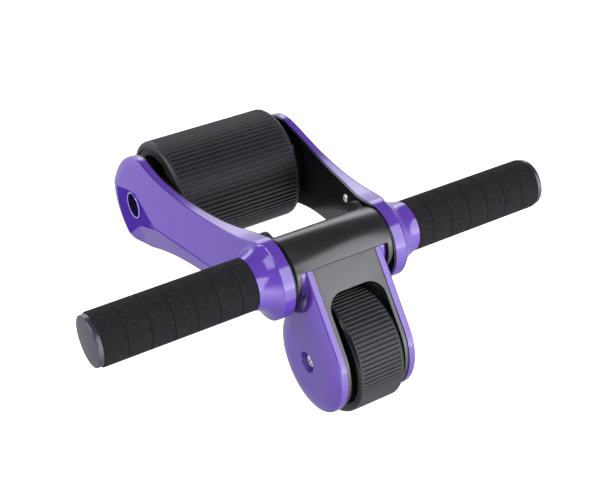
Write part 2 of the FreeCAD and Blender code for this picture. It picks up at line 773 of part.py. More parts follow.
# Swinging fork: two domed side plates on a black cover that turns on the handle tube
def build_fork():
    body = new_body("right_fork_plate")
    pad(body, fork_outline(new_sketch(body, "YZ_Plane", "cover_half"), "0"), "fork_rim")
    rim = "cover_half + fork_rim"
    steps = []
    for rise, inward in dome_shares:
        sketch = new_sketch(body, "YZ_Plane", "%s + %s * fork_crown" % (rim, rise))
        steps.append(fork_outline(sketch, "%s * fork_slope" % inward))
    loft(body, steps)
    hub = circle(new_sketch(body, "YZ_Plane", "cover_half"), "0", "0", "fork_hub_rad")
    pad(body, hub, "fork_half - cover_half")
    through = "2 * fork_half"
    tube_hole = circle(new_sketch(body, "YZ_Plane"), "0", "0", "tube_free")
    pocket(body, tube_hole, through, along=True)
    eye = ("-wheel_fwd", "-wheel_drop")
    pocket(body, circle(new_sketch(body, "YZ_Plane"), *eye, "front_axle_rad + slip"), through, along=True)
    eye_sketch = circle(new_sketch(body, "YZ_Plane", "fork_eye_floor"), *eye, "fork_eye_rad")
    pocket(body, eye_sketch, "fork_half", along=True)

    cover = new_body("fork_cover")
    pad(cover, fork_outline(new_sketch(cover, "YZ_Plane"), "cover_inset"), "2 * cover_half", symmetric=True)
    wheel_room = circle(new_sketch(cover, "YZ_Plane"), *eye, "wheel_room_rad")
    pocket(cover, wheel_room, "2 * wheel_bay", symmetric=True)
    arch = new_sketch(cover, "XY_Plane")
    arch.AttachmentOffset.Rotation = FreeCAD.Rotation(FreeCAD.Vector(1, 0, 0), 1)
    bind(arch, "AttachmentOffset.Rotation.Angle", "front_lean")
    below = "-(fork_reach + fork_disc_rad)"
    rounded_top(arch, "wheel_bay", below, "-arch_top", "arch_corner")
    pocket(cover, arch, "4 * fork_disc_rad", symmetric=True)
    bush_bore = circle(new_sketch(cover, "YZ_Plane"), "0", "0", "tube_rad + 2 * slip + pivot_bush_wall")
    pocket(cover, bush_bore, through, symmetric=True)
    axle_hole = circle(new_sketch(cover, "YZ_Plane"), *eye, "front_axle_rad + slip")
    pocket(cover, axle_hole, through, symmetric=True)

    bush_rad = "tube_rad + slip + pivot_bush_wall"
    sleeve = ring("cover_half - pivot_bush_len", "cover_half", "tube_bore", bush_rad)
    bushes = pair("fork_bushes", turned("fork_bush", sleeve))
    for item in (body, cover, bushes):
        seat(item)

    axle, bolts = build_axle("front_axle", "fork_eye_floor", "front_axle_rad", "front_bolt")
    for item in (axle, bolts):
        seat(item, "-wheel_fwd", "-wheel_drop")
    return [body, mirror("left_fork_plate", body), cover, bushes, axle, bolts]


# Ribbed tread: a sleeve with bevelled shoulders and grooves along it
def build_tread(label, radius, ribbed, half, shoulder, wall, ribs):
    inner = "%s - %s" % (radius, wall)
    profile = [("-" + half, inner), (half, inner), (half, "%s - %s" % (radius, shoulder))]
    profile += [(ribbed, radius), ("-" + ribbed, radius), ("-" + half, "%s - %s" % (radius, shoulder))]
    body = turned(label, profile)
    foot = "%s - rib_groove_depth" % radius
    over = "%s + rib_groove_depth" % radius
    lip = "rib_groove_width / 2 + (rib_groove_width - rib_groove_foot) / 2"
    notch = [("-rib_groove_foot / 2", foot), ("rib_groove_foot / 2", foot)]
    notch += [(lip, over), ("-(%s)" % lip, over)]
    sketch = polygon(new_sketch(body, "YZ_Plane"), notch)
    spread(body, pocket(body, sketch, "2 * %s" % half, symmetric=True), ribs)
    return body


# Rear roller: tread on a moulded drum with a web, ribs and bushes
def build_roller():
    tread = build_tread("roller_tread", "roller_rad", "roller_ribbed", "roller_half",
                        "roller_shoulder", "tread_wall", roller_ribs)
    drum = "roller_rad - tread_wall"
    side = "(roller_half - core_inset)"
    bore = "axle_rad + slip + bush_wall"
    core = turned("roller_core",
                  ring("-" + side, side, drum + " - core_wall", drum),
                  ring("-core_web / 2", "core_web / 2", bore, drum + " - core_wall / 2"),
                  ring("-core_hub_half", "core_hub_half", bore, "core_hub_rad"))
    strut = [("-core_rib / 2", "core_hub_rad - core_rib"), ("core_rib / 2", "core_hub_rad - core_rib")]
    strut += [("core_rib / 2", drum + " - core_wall / 2"), ("-core_rib / 2", drum + " - core_wall / 2")]
    rib = pad(core, polygon(new_sketch(core, "YZ_Plane"), strut), "2 * core_rib_half", symmetric=True)
    spread(core, rib, core_ribs)
    sleeve = ring("core_hub_half - bush_len", "bush_end", "axle_rad + slip", "axle_rad + bush_wall")
    bushes = pair("roller_bushes", turned("roller_bush", sleeve))
    nodes = [tread, core, bushes]
    for item in nodes:
        seat(item, "roller_back", "-roller_drop")
    return nodes


# Front wheel: tread on a moulded hub with bushes
def build_wheel():
    tread = build_tread("wheel_tread", "wheel_rad", "wheel_ribbed", "wheel_half",
                        "wheel_shoulder", "wheel_tread_wall", wheel_ribs)
    drum = "wheel_rad - wheel_tread_wall"
    bore = "front_axle_rad + slip + wheel_bush_wall"
    hub = turned("wheel_hub",
                 ring("-wheel_core_half", "wheel_core_half", drum + " - wheel_core_wall", drum),
                 ring("-wheel_web / 2", "wheel_web / 2", bore, drum + " - wheel_core_wall / 2"),
                 ring("-wheel_hub_half", "wheel_hub_half", bore, "wheel_hub_rad"))
    sleeve = ring("wheel_hub_half - wheel_bush_len", "wheel_bay - gap",
                  "front_axle_rad + slip", "front_axle_rad + wheel_bush_wall")
    bushes = pair("wheel_bushes", turned("wheel_bush", sleeve))
    nodes = [tread, hub, bushes]
    for item in nodes:
        seat(item, "-wheel_fwd", "-wheel_drop")
    return nodes


nodes = build_handle() + build_housing() + build_arms() + build_rear_fixings()
nodes += build_fork() + build_roller() + build_wheel()
doc.recompute()

# nothing is written unless every feature is sound
for item in doc.Objects:
    if "Invalid" in item.State or "Error" in item.State:
        raise RuntimeError("%s failed: %s" % (item.Label, item.State))
    if item.TypeId == "PartDesign::Pocket" and item.Shape.Volume >= item.BaseFeature.Shape.Volume:
        raise RuntimeError("%s cuts nothing" % item.Label)
for item in nodes:
    if item.Shape.isNull() or not item.Shape.isValid():
        raise RuntimeError("%s has no sound shape" % item.Label)

os.makedirs("parts", exist_ok=True)
for item in nodes:
    item.Shape.exportStep("parts/%s.step" % item.Label)
    print("%-20s %d solids %9.1f mm3" % (item.Label, len(item.Shape.Solids), item.Shape.Volume))
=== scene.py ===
import bpy
import bmesh
import math
import numpy as np
from mathutils import Matrix, Vector


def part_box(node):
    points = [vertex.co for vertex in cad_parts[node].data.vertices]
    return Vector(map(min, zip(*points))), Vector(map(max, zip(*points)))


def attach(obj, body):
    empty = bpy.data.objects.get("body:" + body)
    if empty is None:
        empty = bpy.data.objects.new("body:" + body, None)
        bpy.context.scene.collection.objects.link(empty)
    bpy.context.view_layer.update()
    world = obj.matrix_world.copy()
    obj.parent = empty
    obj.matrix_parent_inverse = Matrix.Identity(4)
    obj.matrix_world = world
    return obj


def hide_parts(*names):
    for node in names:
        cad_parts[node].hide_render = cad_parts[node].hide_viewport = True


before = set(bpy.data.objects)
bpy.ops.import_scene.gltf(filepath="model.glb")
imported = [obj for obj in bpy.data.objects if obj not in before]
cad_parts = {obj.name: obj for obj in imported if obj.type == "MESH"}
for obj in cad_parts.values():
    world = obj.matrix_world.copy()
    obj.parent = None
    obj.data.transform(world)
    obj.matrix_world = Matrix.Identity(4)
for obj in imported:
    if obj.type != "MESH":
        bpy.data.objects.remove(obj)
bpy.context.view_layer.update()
print("frame loaded with", len(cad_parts), "nodes")

# Pieces are drawn in millimetres about the handle axis: x to the right, y to the rear roller, z up
mm = 0.001
tau = 2 * math.pi
mergeGap, sliverGap = 0.004 * mm, 0.002 * mm


def middleOf(node):
    low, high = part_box(node)
    return np.array((low + high) / 2)


handle = middleOf("handle_tube")
roller = (middleOf("roller_tread") - handle) / mm
wheel = (middleOf("wheel_tread") - handle) / mm


# Small curve and outline tools

def smoothCurve(knots, values):
    # natural cubic spline through the knots
    knots, values = np.array(knots, float), np.array(values, float)
    gaps = np.diff(knots)
    system, right = np.eye(len(knots)), np.zeros(len(knots))
    for i in range(1, len(knots) - 1):
        system[i, i - 1:i + 2] = gaps[i - 1], 2 * (gaps[i - 1] + gaps[i]), gaps[i]
        right[i] = 6 * ((values[i + 1] - values[i]) / gaps[i] - (values[i] - values[i - 1]) / gaps[i - 1])
    bend = np.linalg.solve(system, right)

    def at(x):
        x = np.clip(x, knots[0], knots[-1])
        i = np.clip(np.searchsorted(knots, x) - 1, 0, len(gaps) - 1)
        a, b = (knots[i + 1] - x) / gaps[i], (x - knots[i]) / gaps[i]
        swing = (a ** 3 - a) * bend[i] + (b ** 3 - b) * bend[i + 1]
        return a * values[i] + b * values[i + 1] + swing * gaps[i] ** 2 / 6
    return at


def smoothMax(a, b, soft):
    # the higher of two surfaces, with a rounded inner corner
    h = np.clip(0.5 + 0.5 * (a - b) / soft, 0, 1)
    return b + (a - b) * h + soft * h * (1 - h)


def fadeIn(x, start, end):
    t = np.clip((x - start) / (end - start), 0, 1)
    return t * t * (3 - 2 * t)


def onRound(centre, radius, angles):
    return np.array(centre) + radius * np.stack([np.cos(angles), np.sin(angles)], axis=-1)


def bearing(step):
    # angle of a step in the outline's plane
    return math.atan2(step[1], step[0])


def after(angle, start):
    # the same direction, as the first angle past start
    return start + (angle - start) % tau


def nearest(angle, start):
    # the same direction, as the angle closest to start
    return start + (angle - start + math.pi) % tau - math.pi


def linkOutline(first, last, left, right, counts):
    # two rounds (y, z, radius) joined on each side by a straight or a hollow sweep of the given radius
    c1, c2 = np.array(first[:2]), np.array(last[:2])
    r1, r2 = first[2], last[2]
    span = np.hypot(*(c2 - c1))
    heading = bearing(c2 - c1)
    touch, hollow = {}, {}
    for side, sweep in ((1, left), (-1, right)):
        if sweep is None:
            turn = heading + side * math.acos((r1 - r2) / span)
            touch[side] = (turn, turn)
            continue
        a, b = sweep + r1, sweep + r2
        turn = heading + side * math.acos((a * a + span * span - b * b) / (2 * a * span))
        hollow[side] = onRound(c1, a, turn)
        touch[side] = (turn, bearing(hollow[side] - c2))
    nearArc, side, farArc = counts
    left1, right2 = touch[1][0], touch[-1][1]
    right1, left2 = after(touch[-1][0], left1), after(touch[1][1], right2)

    def sidePoints(which, start, end):
        v = np.arange(side)[:, None] / side
        if which not in hollow:
            return start + (end - start) * v
        centre = hollow[which]
        a = bearing(start - centre)
        b = nearest(bearing(end - centre), a)
        return onRound(centre, np.hypot(*(start - centre)), a + (b - a) * v[:, 0])

    v1, v2 = np.arange(nearArc) / nearArc, np.arange(farArc) / farArc
    nearAngles, farAngles = left1 + (right1 - left1) * v1, right2 + (left2 - right2) * v2
    points = [onRound(c1, r1, nearAngles),
              sidePoints(-1, onRound(c1, r1, right1), onRound(c2, r2, right2)),
              onRound(c2, r2, farAngles),
              sidePoints(1, onRound(c2, r2, left2), onRound(c1, r1, left1))]
    return {"points": np.concatenate(points), "near": nearAngles, "far": farAngles, "side": side,
            "turns": (left1, right1, right2, left2)}


def holesAndSpine(outline, near, far, spine, shares):
    # inner loop that the outline's spokes run to: round one hole, along the spine, round the other and back
    left1, right1, right2, left2 = outline["turns"]
    keep = np.hypot(*(spine - near[:2]).T) > near[2]
    keep &= np.hypot(*(spine - far[:2]).T) > far[2]
    spine = spine[keep]
    start = after(bearing(spine[0] - near[:2]), right1)
    end = after(bearing(spine[-1] - far[:2]), left2) - tau
    spine = np.concatenate([[onRound(near[:2], near[2], start)], spine, [onRound(far[:2], far[2], end)]])
    travel = np.concatenate([[0], np.cumsum(np.hypot(*np.diff(spine, axis=0).T))])
    count = outline["side"]
    head, tail = round(shares[0] * count), round(shares[1] * count)
    runs = count - head - tail

    def along(v):
        return np.stack([np.interp(v * travel[-1], travel, spine[:, i]) for i in (0, 1)], axis=-1)

    def sweep(a, b, steps):
        return a + (b - a) * np.arange(steps) / steps

    loop = [onRound(near[:2], near[2], outline["near"]),
            onRound(near[:2], near[2], sweep(right1, start, head)),
            along(sweep(0, 1, runs)),
            onRound(far[:2], far[2], sweep(end, right2, tail)),
            onRound(far[:2], far[2], outline["far"]),
            onRound(far[:2], far[2], sweep(left2, end + tau, tail)),
            along(sweep(1, 0, runs)),
            onRound(near[:2], near[2], sweep(start, left1 + tau, head))]
    sizes = np.cumsum([0] + [len(part) for part in loop])
    nearLoop = np.r_[sizes[7]:sizes[8], 0:sizes[2] + 1]
    farLoop = np.r_[sizes[3]:sizes[6] + 1]
    return np.concatenate(loop), nearLoop, farLoop


def loopFaces(first, second, closed=True):
    # quads between two loops of vertex numbers
    count = len(first) if closed else len(first) - 1
    return [(first[j], first[(j + 1) % len(first)], second[(j + 1) % len(first)], second[j])
            for j in range(count)]


def ringFaces(rings):
    return [face for first, second in zip(rings, rings[1:]) for face in loopFaces(first, second)]


baseShares = (1.0, 0.66, 0.33, 0.06)   # rows across the base, from the inner loop out
wallShares = (0.0, 0.08, 0.5, 0.9)     # rows up the wall
rimShares = (0, 0.05, 0.2, 0.45, 0.75, 1.05)   # rows over the rounded rim, in widths of its edge
partingDrop = 1.8                      # how far below the rim its groove starts, in groove depths
closeRoom = 3                          # spokes shorter than this many last rows draw their rows together


def rimRows(edge, last):
    return [share * edge for share in (*rimShares, last)]


def linkShell(outline, inner, top, base, edge, steps, nearSteps, farSteps, parting=0):
    # closed body between the surfaces base and top, with a rounded rim, a groove under it and two holes
    outer = outline["points"]
    loop, nearLoop, farLoop = inner
    reach = loop - outer
    length = np.hypot(*reach.T)
    rim, middle, close = steps
    tight = np.clip(length / (closeRoom * close[0]), 0, 1)
    rows = [d * tight for d in rim]
    room = length - (rim[-1] + close[0]) * tight
    rows += [rows[len(rim) - 1] + room * i / middle for i in range(1, middle)]
    rows += [length - d * tight for d in close]
    verts, rings = [], []

    def addRing(points, x):
        rings.append(np.arange(len(points)) + sum(len(v) for v in verts))
        verts.append(np.column_stack([np.broadcast_to(x, len(points)), points]))

    for share in baseShares:
        points = outer + reach * share
        addRing(points, base(points))
    crest = top(outer) - edge
    for share in wallShares:
        addRing(outer, base(outer) + (crest - base(outer)) * share)
    if parting:
        addRing(outer, crest - partingDrop * parting)
        addRing(outer + reach * (parting / length)[:, None], crest - parting)
    addRing(outer, crest)
    for row in rows[1:]:
        points = outer + reach * (row / length)[:, None]
        sunk = np.clip(edge - row, 0, edge)
        addRing(points, top(points) - edge + np.sqrt(edge ** 2 - sunk ** 2))
    faces = ringFaces(rings)
    front, back = rings[-1], rings[0]
    for hole, centre, plan in ((nearLoop, nearSteps[0], nearSteps[1]), (farLoop, farSteps[0], farSteps[1])):
        last = front[hole]
        angles = np.arctan2(*(loop[hole] - centre).T[::-1])
        for radius, x in plan:
            addRing(onRound(centre, radius, angles), x)
            faces += loopFaces(last, rings[-1], closed=False)
            last = rings[-1]
        faces += loopFaces(last, back[hole], closed=False)
    return np.concatenate(verts), faces


def rounded(points, radii, steps=5):
    # polyline with its corners turned into arcs
    points = np.array(points, float)
    out = []
    for i, p in enumerate(points):
        radius = radii[i]
        if not radius:
            out.append(p)
            continue
        a, b = points[i - 1] - p, points[(i + 1) % len(points)] - p
        a, b = a / np.hypot(*a), b / np.hypot(*b)
        half = math.acos(np.clip(a @ b, -1, 1)) / 2
        bisector = (a + b) / np.hypot(*(a + b))
        centre = p + bisector * radius / math.sin(half)
        start = bearing(p + a * radius / math.tan(half) - centre)
        end = nearest(bearing(p + b * radius / math.tan(half) - centre), start)
        out += list(onRound(centre, radius, np.linspace(start, end, steps + 1)))
    return np.array(out)


def turned(profile, segments, centre=(0, 0, 0)):
    # body of revolution about x from a closed outline of (length, radius) points
    profile = np.array(profile, float)
    verts, rings = [], []
    for i in range(segments):
        angle = tau * i / segments
        rings.append(np.arange(len(profile)) + i * len(profile))
        verts.append(np.column_stack([profile[:, 0], profile[:, 1] * math.cos(angle),
                                      profile[:, 1] * math.sin(angle)]) + np.array(centre))
    return np.concatenate(verts), ringFaces([*rings, rings[0]])


def joined(*parts):
    # several closed bodies as one list of vertices and faces
    verts, faces, shift = [], [], 0
    for v, f in parts:
        verts.append(v)
        faces += [tuple(int(n) + shift for n in face) for face in f]
        shift += len(v)
    return np.concatenate(verts), faces


def mirrored(shape):
    verts, faces = shape
    return verts * (-1, 1, 1), [face[::-1] for face in faces]


# Turning shapes into pieces

def settle(mesh):
    # merged, without slivers, facing outwards
    bm = bmesh.new()
    bm.from_mesh(mesh)
    bmesh.ops.remove_doubles(bm, verts=bm.verts, dist=mergeGap)
    bmesh.ops.dissolve_degenerate(bm, edges=bm.edges, dist=sliverGap)
    bmesh.ops.recalc_face_normals(bm, faces=bm.faces)
    bm.to_mesh(mesh)
    bm.free()


def shade(mesh, sharp):
    mesh.polygons.foreach_set("use_smooth", [True] * len(mesh.polygons))
    mesh.set_sharp_from_angle(angle=math.radians(sharp))


def linked(name, data):
    item = bpy.data.objects.new(name, data)
    bpy.context.scene.collection.objects.link(item)
    return item


def newObject(name, shape, place=True):
    verts, faces = shape
    mesh = bpy.data.meshes.new(name)
    points = np.asarray(verts) * mm + (handle if place else 0)
    mesh.from_pydata(points.tolist(), [], [[int(n) for n in face] for face in faces])
    settle(mesh)
    return linked(name, mesh)


def plainMesh(item):
    # the modifiers' result as the object's own mesh
    bpy.context.view_layer.update()
    graph = bpy.context.evaluated_depsgraph_get()
    result = bpy.data.meshes.new_from_object(item.evaluated_get(graph))
    item.modifiers.clear()
    item.data = result


def addPiece(item, finish, body, nodes, sharp=35):
    item.data.materials.clear()
    item.data.materials.append(finish)
    shade(item.data, sharp)
    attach(item, body)
    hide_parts(*nodes)
    return item


# Angles in degrees: faces are merged below the flat one, edges are rounded above the corner one
easing = {"flat": 0.6, "corner": 30, "segments": 2}


def paintWhere(item, finish, test):
    # second material on the faces that the test picks; both uses below paint shade
    item.data.materials.append(finish)
    for face in item.data.polygons:
        if test(face):
            face.material_index = 1


def eased(node, name, width, clamp):
    # copy of a frame node with its sharp edges rounded
    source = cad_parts[node].data
    mesh = bpy.data.meshes.new(name)
    mesh.from_pydata([v.co[:] for v in source.vertices], [], [p.vertices[:] for p in source.polygons])
    bm = bmesh.new()
    bm.from_mesh(mesh)
    bmesh.ops.remove_doubles(bm, verts=bm.verts, dist=mergeGap)
    bmesh.ops.dissolve_limit(bm, angle_limit=math.radians(easing["flat"]), verts=bm.verts, edges=bm.edges)
    bm.to_mesh(mesh)
    bm.free()
    item = linked(name, mesh)
    bevel = item.modifiers.new("edges", "BEVEL")
    bevel.width = width * mm
    bevel.segments = easing["segments"]
    bevel.use_clamp_overlap = clamp
    bevel.limit_method = "ANGLE"
    bevel.angle_limit = math.radians(easing["corner"])
    plainMesh(item)
    return item


# Finishes

def shaderGroup(name, inputs, outputs):
    group = bpy.data.node_groups.new(name, "ShaderNodeTree")
    for label, kind in inputs:
        group.interface.new_socket(label, in_out="INPUT", socket_type="NodeSocket" + kind)
    for label, kind in outputs:
        group.interface.new_socket(label, in_out="OUTPUT", socket_type="NodeSocket" + kind)
    return group, group.nodes.new("NodeGroupInput"), group.nodes.new("NodeGroupOutput")


def addNode(tree, kind, **settings):
    node = tree.nodes.new(kind)
    for key, value in settings.items():
        setattr(node, key, value)
    return node


def feed(tree, source, target):
    # a number is set, an output is linked
    if isinstance(source, (int, float)):
        target.default_value = source
    else:
        tree.links.new(source, target)


def noiseNode(tree, coords, scale, detail):
    noise = addNode(tree, "ShaderNodeTexNoise")
    for label, value in (("Vector", coords), ("Scale", scale), ("Detail", detail)):
        feed(tree, value, noise.inputs[label])
    return noise.outputs["Fac"]


def mathNode(tree, operation, a, b):
    node = addNode(tree, "ShaderNodeMath", operation=operation)
    feed(tree, a, node.inputs[0])
    feed(tree, b, node.inputs[1])
    return node.outputs[0]


def mouldGrain():
    # uneven colour, hazy patches in the gloss and a fine surface grain
    inputs = [("Colour", "Color"), ("Shade", "Float"), ("Roughness", "Float"), ("Haze", "Float"),
              ("Patch", "Float"), ("Grain", "Float")]
    outputs = [("Colour", "Color"), ("Roughness", "Float"), ("Height", "Float")]
    group, entry, leave = shaderGroup("mouldGrain", inputs, outputs)
    coords = addNode(group, "ShaderNodeTexCoord").outputs["Object"]
    patch = noiseNode(group, coords, entry.outputs["Patch"], detail=3)
    grain = noiseNode(group, coords, entry.outputs["Grain"], detail=2)
    centred = mathNode(group, "SUBTRACT", patch, 0.5)
    tone = mathNode(group, "ADD", mathNode(group, "MULTIPLY", centred, entry.outputs["Shade"]), 1)
    tint = addNode(group, "ShaderNodeVectorMath", operation="SCALE")
    feed(group, entry.outputs["Colour"], tint.inputs[0])
    feed(group, tone, tint.inputs["Scale"])
    feed(group, tint.outputs[0], leave.inputs["Colour"])
    haze = mathNode(group, "MULTIPLY", centred, entry.outputs["Haze"])
    feed(group, mathNode(group, "ADD", haze, entry.outputs["Roughness"]), leave.inputs["Roughness"])
    feed(group, grain, leave.inputs["Height"])
    return group


def newFinish(name):
    material = bpy.data.materials.new(name)
    material.use_nodes = True
    return material, material.node_tree, material.node_tree.nodes["Principled BSDF"]


def addBump(tree, shader, height, strength, depth):
    bump = addNode(tree, "ShaderNodeBump")
    for label, value in (("Strength", strength), ("Distance", depth * mm), ("Height", height)):
        feed(tree, value, bump.inputs[label])
    feed(tree, bump.outputs["Normal"], shader.inputs["Normal"])


coatRoughness = 0.06


def moulded(name, colour, roughness, shade=0.12, haze=0.08, patch=60, grain=2500, bump=0.02, depth=0.05,
            metallic=0.0, coat=0.0, level=0.5):
    # plain material on the shared grain
    material, tree, shader = newFinish(name)
    group = addNode(tree, "ShaderNodeGroup", node_tree=grainGroup)
    group.inputs["Colour"].default_value = (*colour, 1)
    for label, value in (("Shade", shade), ("Roughness", roughness), ("Haze", haze), ("Patch", patch),
                         ("Grain", grain)):
        group.inputs[label].default_value = value
    addBump(tree, shader, group.outputs["Height"], bump, depth)
    for label, value in (("Base Color", group.outputs["Colour"]), ("Roughness", group.outputs["Roughness"]),
                         ("Metallic", metallic), ("Coat Weight", coat), ("Coat Roughness", coatRoughness),
                         ("Specular IOR Level", level)):
        feed(tree, value, shader.inputs[label])
    return material


foamLook = {
    "dark": (0.0075, 0.0075, 0.0082), "light": (0.0275, 0.0255, 0.0275), "darkTo": 0.1, "lightFrom": 0.5,
    "cell": 1500, "pore": 620, "poreDetail": 4, "bump": 0.55, "depth": 0.35, "roughness": 0.95, "level": 0.25,
}


def foamFinish():
    # closed-cell foam: pale cell walls, darker pores
    material, tree, shader = newFinish("foamSkin")
    coords = addNode(tree, "ShaderNodeTexCoord").outputs["Object"]
    cells = addNode(tree, "ShaderNodeTexVoronoi", feature="F1")
    cells.inputs["Scale"].default_value = foamLook["cell"]
    feed(tree, coords, cells.inputs["Vector"])
    pores = noiseNode(tree, coords, foamLook["pore"], foamLook["poreDetail"])
    mask = mathNode(tree, "MULTIPLY", cells.outputs["Distance"], pores)
    ramp = addNode(tree, "ShaderNodeValToRGB")
    for stop, place, tone in zip(ramp.color_ramp.elements, ("darkTo", "lightFrom"), ("dark", "light")):
        stop.position = foamLook[place]
        stop.color = (*foamLook[tone], 1)
    feed(tree, mask, ramp.inputs["Fac"])
    addBump(tree, shader, mask, foamLook["bump"], foamLook["depth"])
    for label, value in (("Base Color", ramp.outputs["Color"]), ("Roughness", foamLook["roughness"]),
                         ("Specular IOR Level", foamLook["level"])):
        feed(tree, value, shader.inputs[label])
    return material


grainGroup = mouldGrain()
purpleGloss = moulded("purpleGloss", (0.125, 0.05, 0.43), 0.14, coat=0.15, bump=0.004, level=1.0)
# deeper matte purple for the tail's dish: partly a matte finish, partly painted shade where the dish looks
# dark
purpleDishMatteAndPaintedShade = moulded("purpleDishMatteAndPaintedShade", (0.066, 0.028, 0.3), 0.3, bump=0.004, level=0.0)
# pale lilac on the lip round the axle eye: a painted highlight
purpleLipPaintedHighlight = moulded("purpleLipPaintedHighlight", (0.4, 0.3, 0.68), 0.12, bump=0.002, coat=0.3)
# near-black inside the axle eye: painted shade in the hole
purplePitPaintedShade = moulded("purplePitPaintedShade", (0.012, 0.005, 0.05), 0.5, bump=0.004, level=0.1)
satinBlack = moulded("satinBlack", (0.012, 0.012, 0.0135), 0.28, haze=0.06, grain=3200, bump=0.02, level=1.0)
# gloss black of the arm linings, also laid on the wheel's smooth sides where it is partly painted shade
glossBlackAndPaintedWheelShade = moulded("glossBlackAndPaintedWheelShade", (0.005, 0.005, 0.006), 0.2, haze=0.06, bump=0.002, level=0.35)
ribRubber = moulded("ribRubber", (0.0192, 0.0185, 0.0213), 0.44, shade=0.3, haze=0.12, bump=0.12)
# the drums' own black, also laid on the housing's cut edges as painted shade
drumBlackAndPaintedCutShade = moulded("drumBlackAndPaintedCutShade", (0.007, 0.007, 0.0075), 0.5, bump=0.08, level=0.3)
capBlack = moulded("capBlack", (0.026, 0.026, 0.05), 0.3, bump=0.01, level=1.0)
nylonPale = moulded("nylonPale", (0.55, 0.53, 0.48), 0.45)
zincPlate = moulded("zincPlate", (0.82, 0.82, 0.8), 0.42, shade=0.3, haze=0.2, patch=900, metallic=0.75)
tubeSteel = moulded("tubeSteel", (0.6, 0.6, 0.61), 0.3, metallic=1.0, patch=300)
foamSkin = foamFinish()
print("finishes ready")


# Arms: purple shells, broad at both ends, with a leaning face, a crease and a flare round the handle
armSizes = {
    # outline, and the gap between the arms
    "noseBack": 3.0, "noseDrop": 5.75, "noseRad": 27.2, "tailRad": 34.4, "topSweep": 309.0, "lowSweep": 226.0,
    "gapFront": 38.6, "gapRear": 57.2, "tubeHole": 12.55, "axleHole": 5.05,
    # face, bevel and the crease between them
    "depth": 14.0, "faceLean": 11.5, "bevelLean": 15.0, "creaseFront": 13.2, "creaseRear": 5.4,
    "creaseLip": 0.4, "creaseGroove": 0.9, "creaseGap": 1.2, "creaseRise": 1.3, "creaseFade": (5, 30),
    # how the face runs into the flare
    "noseFade": 4.0, "noseSpan": (-5, 18), "blend": (0.4, 2.6), "blendSpan": (0, 20), "flareEdge": 0.25,
    # rounded edge of the face
    "edge": 0.4, "rimEdge": 0.3, "edgeSpan": (15, 40), "edgeLast": 1.7, "parting": 0.4,
    # tail: its flat, its swollen underside, its rolled rear edge, its hollow and the eye of the axle
    "tailFlat": 67.7, "tailTilt": 0.04, "tiltStart": 25.0, "tailSwell": 4.0, "swellSpan": (-13, 5),
    "tailRound": 9.0, "roundLeast": 0.05, "roundPower": 0.7, "tailKink": 0.12, "tailSink": 0.2,
    "bowlDeep": 1.2, "bowlRad": 24.0, "eyeRad": 8.8, "eyeLip": 1.1, "eyeProud": 1.7, "eyeFloor": 60.5,
    # mesh
    "points": (140, 170, 140), "turnShares": (0.06, 0.08), "rows": 30,
}
plateSizes = {
    "show": 1.5, "inset": 0.4, "edge": 0.4, "slip": 0.05, "rimShares": (0, 0.05, 0.3, 0.6, 1.05, 3),
    "close": (1.0, 0), "points": (90, 120, 100), "turnShares": (0.04, 0.06), "rows": 8,
}
spineSteps, eyeSteps = 600, 9
creaseApproach = (3.0, 2.0)             # rows beside the crease
creaseRows = (1.5, 1.1, 0.85, 0.1, 0)   # and down into it, in halves of its width
# The flare round the handle: distances out from the gap and the radius at each
bellSteps = (8.7, 11.2, 16.2, 22.6)
bellRadii = (27.1, 23.8, 19.7, 17.6)
bellHalvings = 24   # steps of the search for the flare's height
# The arm's splay and depth at shares of the way from the handle to the roller
alongShares = (-0.6, -0.36, -0.14, 0.06, 0.18, 0.31, 0.55, 0.76, 0.92, 1.08, 1.3, 1.6)
splayShares = (0.0, 0.0, 0.0, 0.0, 0.1, 0.36, 0.7, 0.92, 1.0, 1.0, 1.0, 1.0)
depthShares = (0.643, 0.643, 0.671, 1.143, 1.296, 1.079, 0.879, 0.829, 0.907, 1.029, 1.1, 1.1)
splayCurve = smoothCurve(alongShares, splayShares)
depthCurve = smoothCurve(alongShares, depthShares)


def armInside(y):
    spread = armSizes["gapRear"] - armSizes["gapFront"]
    return armSizes["gapFront"] + np.clip(splayCurve(y / roller[1]), 0, 1) * spread


def straightCrease(y):
    front, rear = -armSizes["creaseFront"], roller[2] - armSizes["creaseRear"]
    return front - y / roller[1] * (front - rear)


def creaseLine(y):
    # height of the crease, drawn to the middle of the nose at the front
    start, end = armSizes["noseBack"], armSizes["creaseRise"] * armSizes["noseRad"]
    lift = -armSizes["noseDrop"] - straightCrease(start)
    return straightCrease(y) + lift * (1 - fadeIn(y, start, end))


def flareHeight(points):
    # how far out the rim and the flare stand over each point
    stations = [armSizes["gapFront"] + step for step in bellSteps]
    radiusAt = smoothCurve(stations, bellRadii)
    low, high = np.full(points.shape[:-1], stations[0]), np.full(points.shape[:-1], stations[-1])
    for _ in range(bellHalvings):
        x = (low + high) / 2
        radius = radiusAt(x)
        shift = (radius - bellRadii[-1]) / (bellRadii[0] - bellRadii[-1])
        y = points[..., 0] - armSizes["noseBack"] * shift
        z = points[..., 1] + armSizes["noseDrop"] * shift
        outside = np.hypot(y, z) > radius
        low, high = np.where(outside, low, x), np.where(outside, x, high)
    return low


def openFace(y, z):
    # main face and lower bevel with the crease groove between them, before the tail is faced off
    crest = armInside(y) + armSizes["depth"] * depthCurve(y / roller[1])
    above = z - creaseLine(y)
    half = armSizes["creaseGap"] / 2
    groove = np.interp(above, (-half, 0, half), (armSizes["creaseLip"], -armSizes["creaseGroove"], 0))
    groove = groove * fadeIn(y, *armSizes["creaseFade"])
    lean = np.where(above > 0, armSizes["faceLean"], armSizes["bevelLean"])
    swell = np.where(above > 0, 0, armSizes["tailSwell"] * fadeIn(y - roller[1], *armSizes["swellSpan"]))
    return crest - np.abs(above) * np.tan(np.radians(lean)) + groove + swell


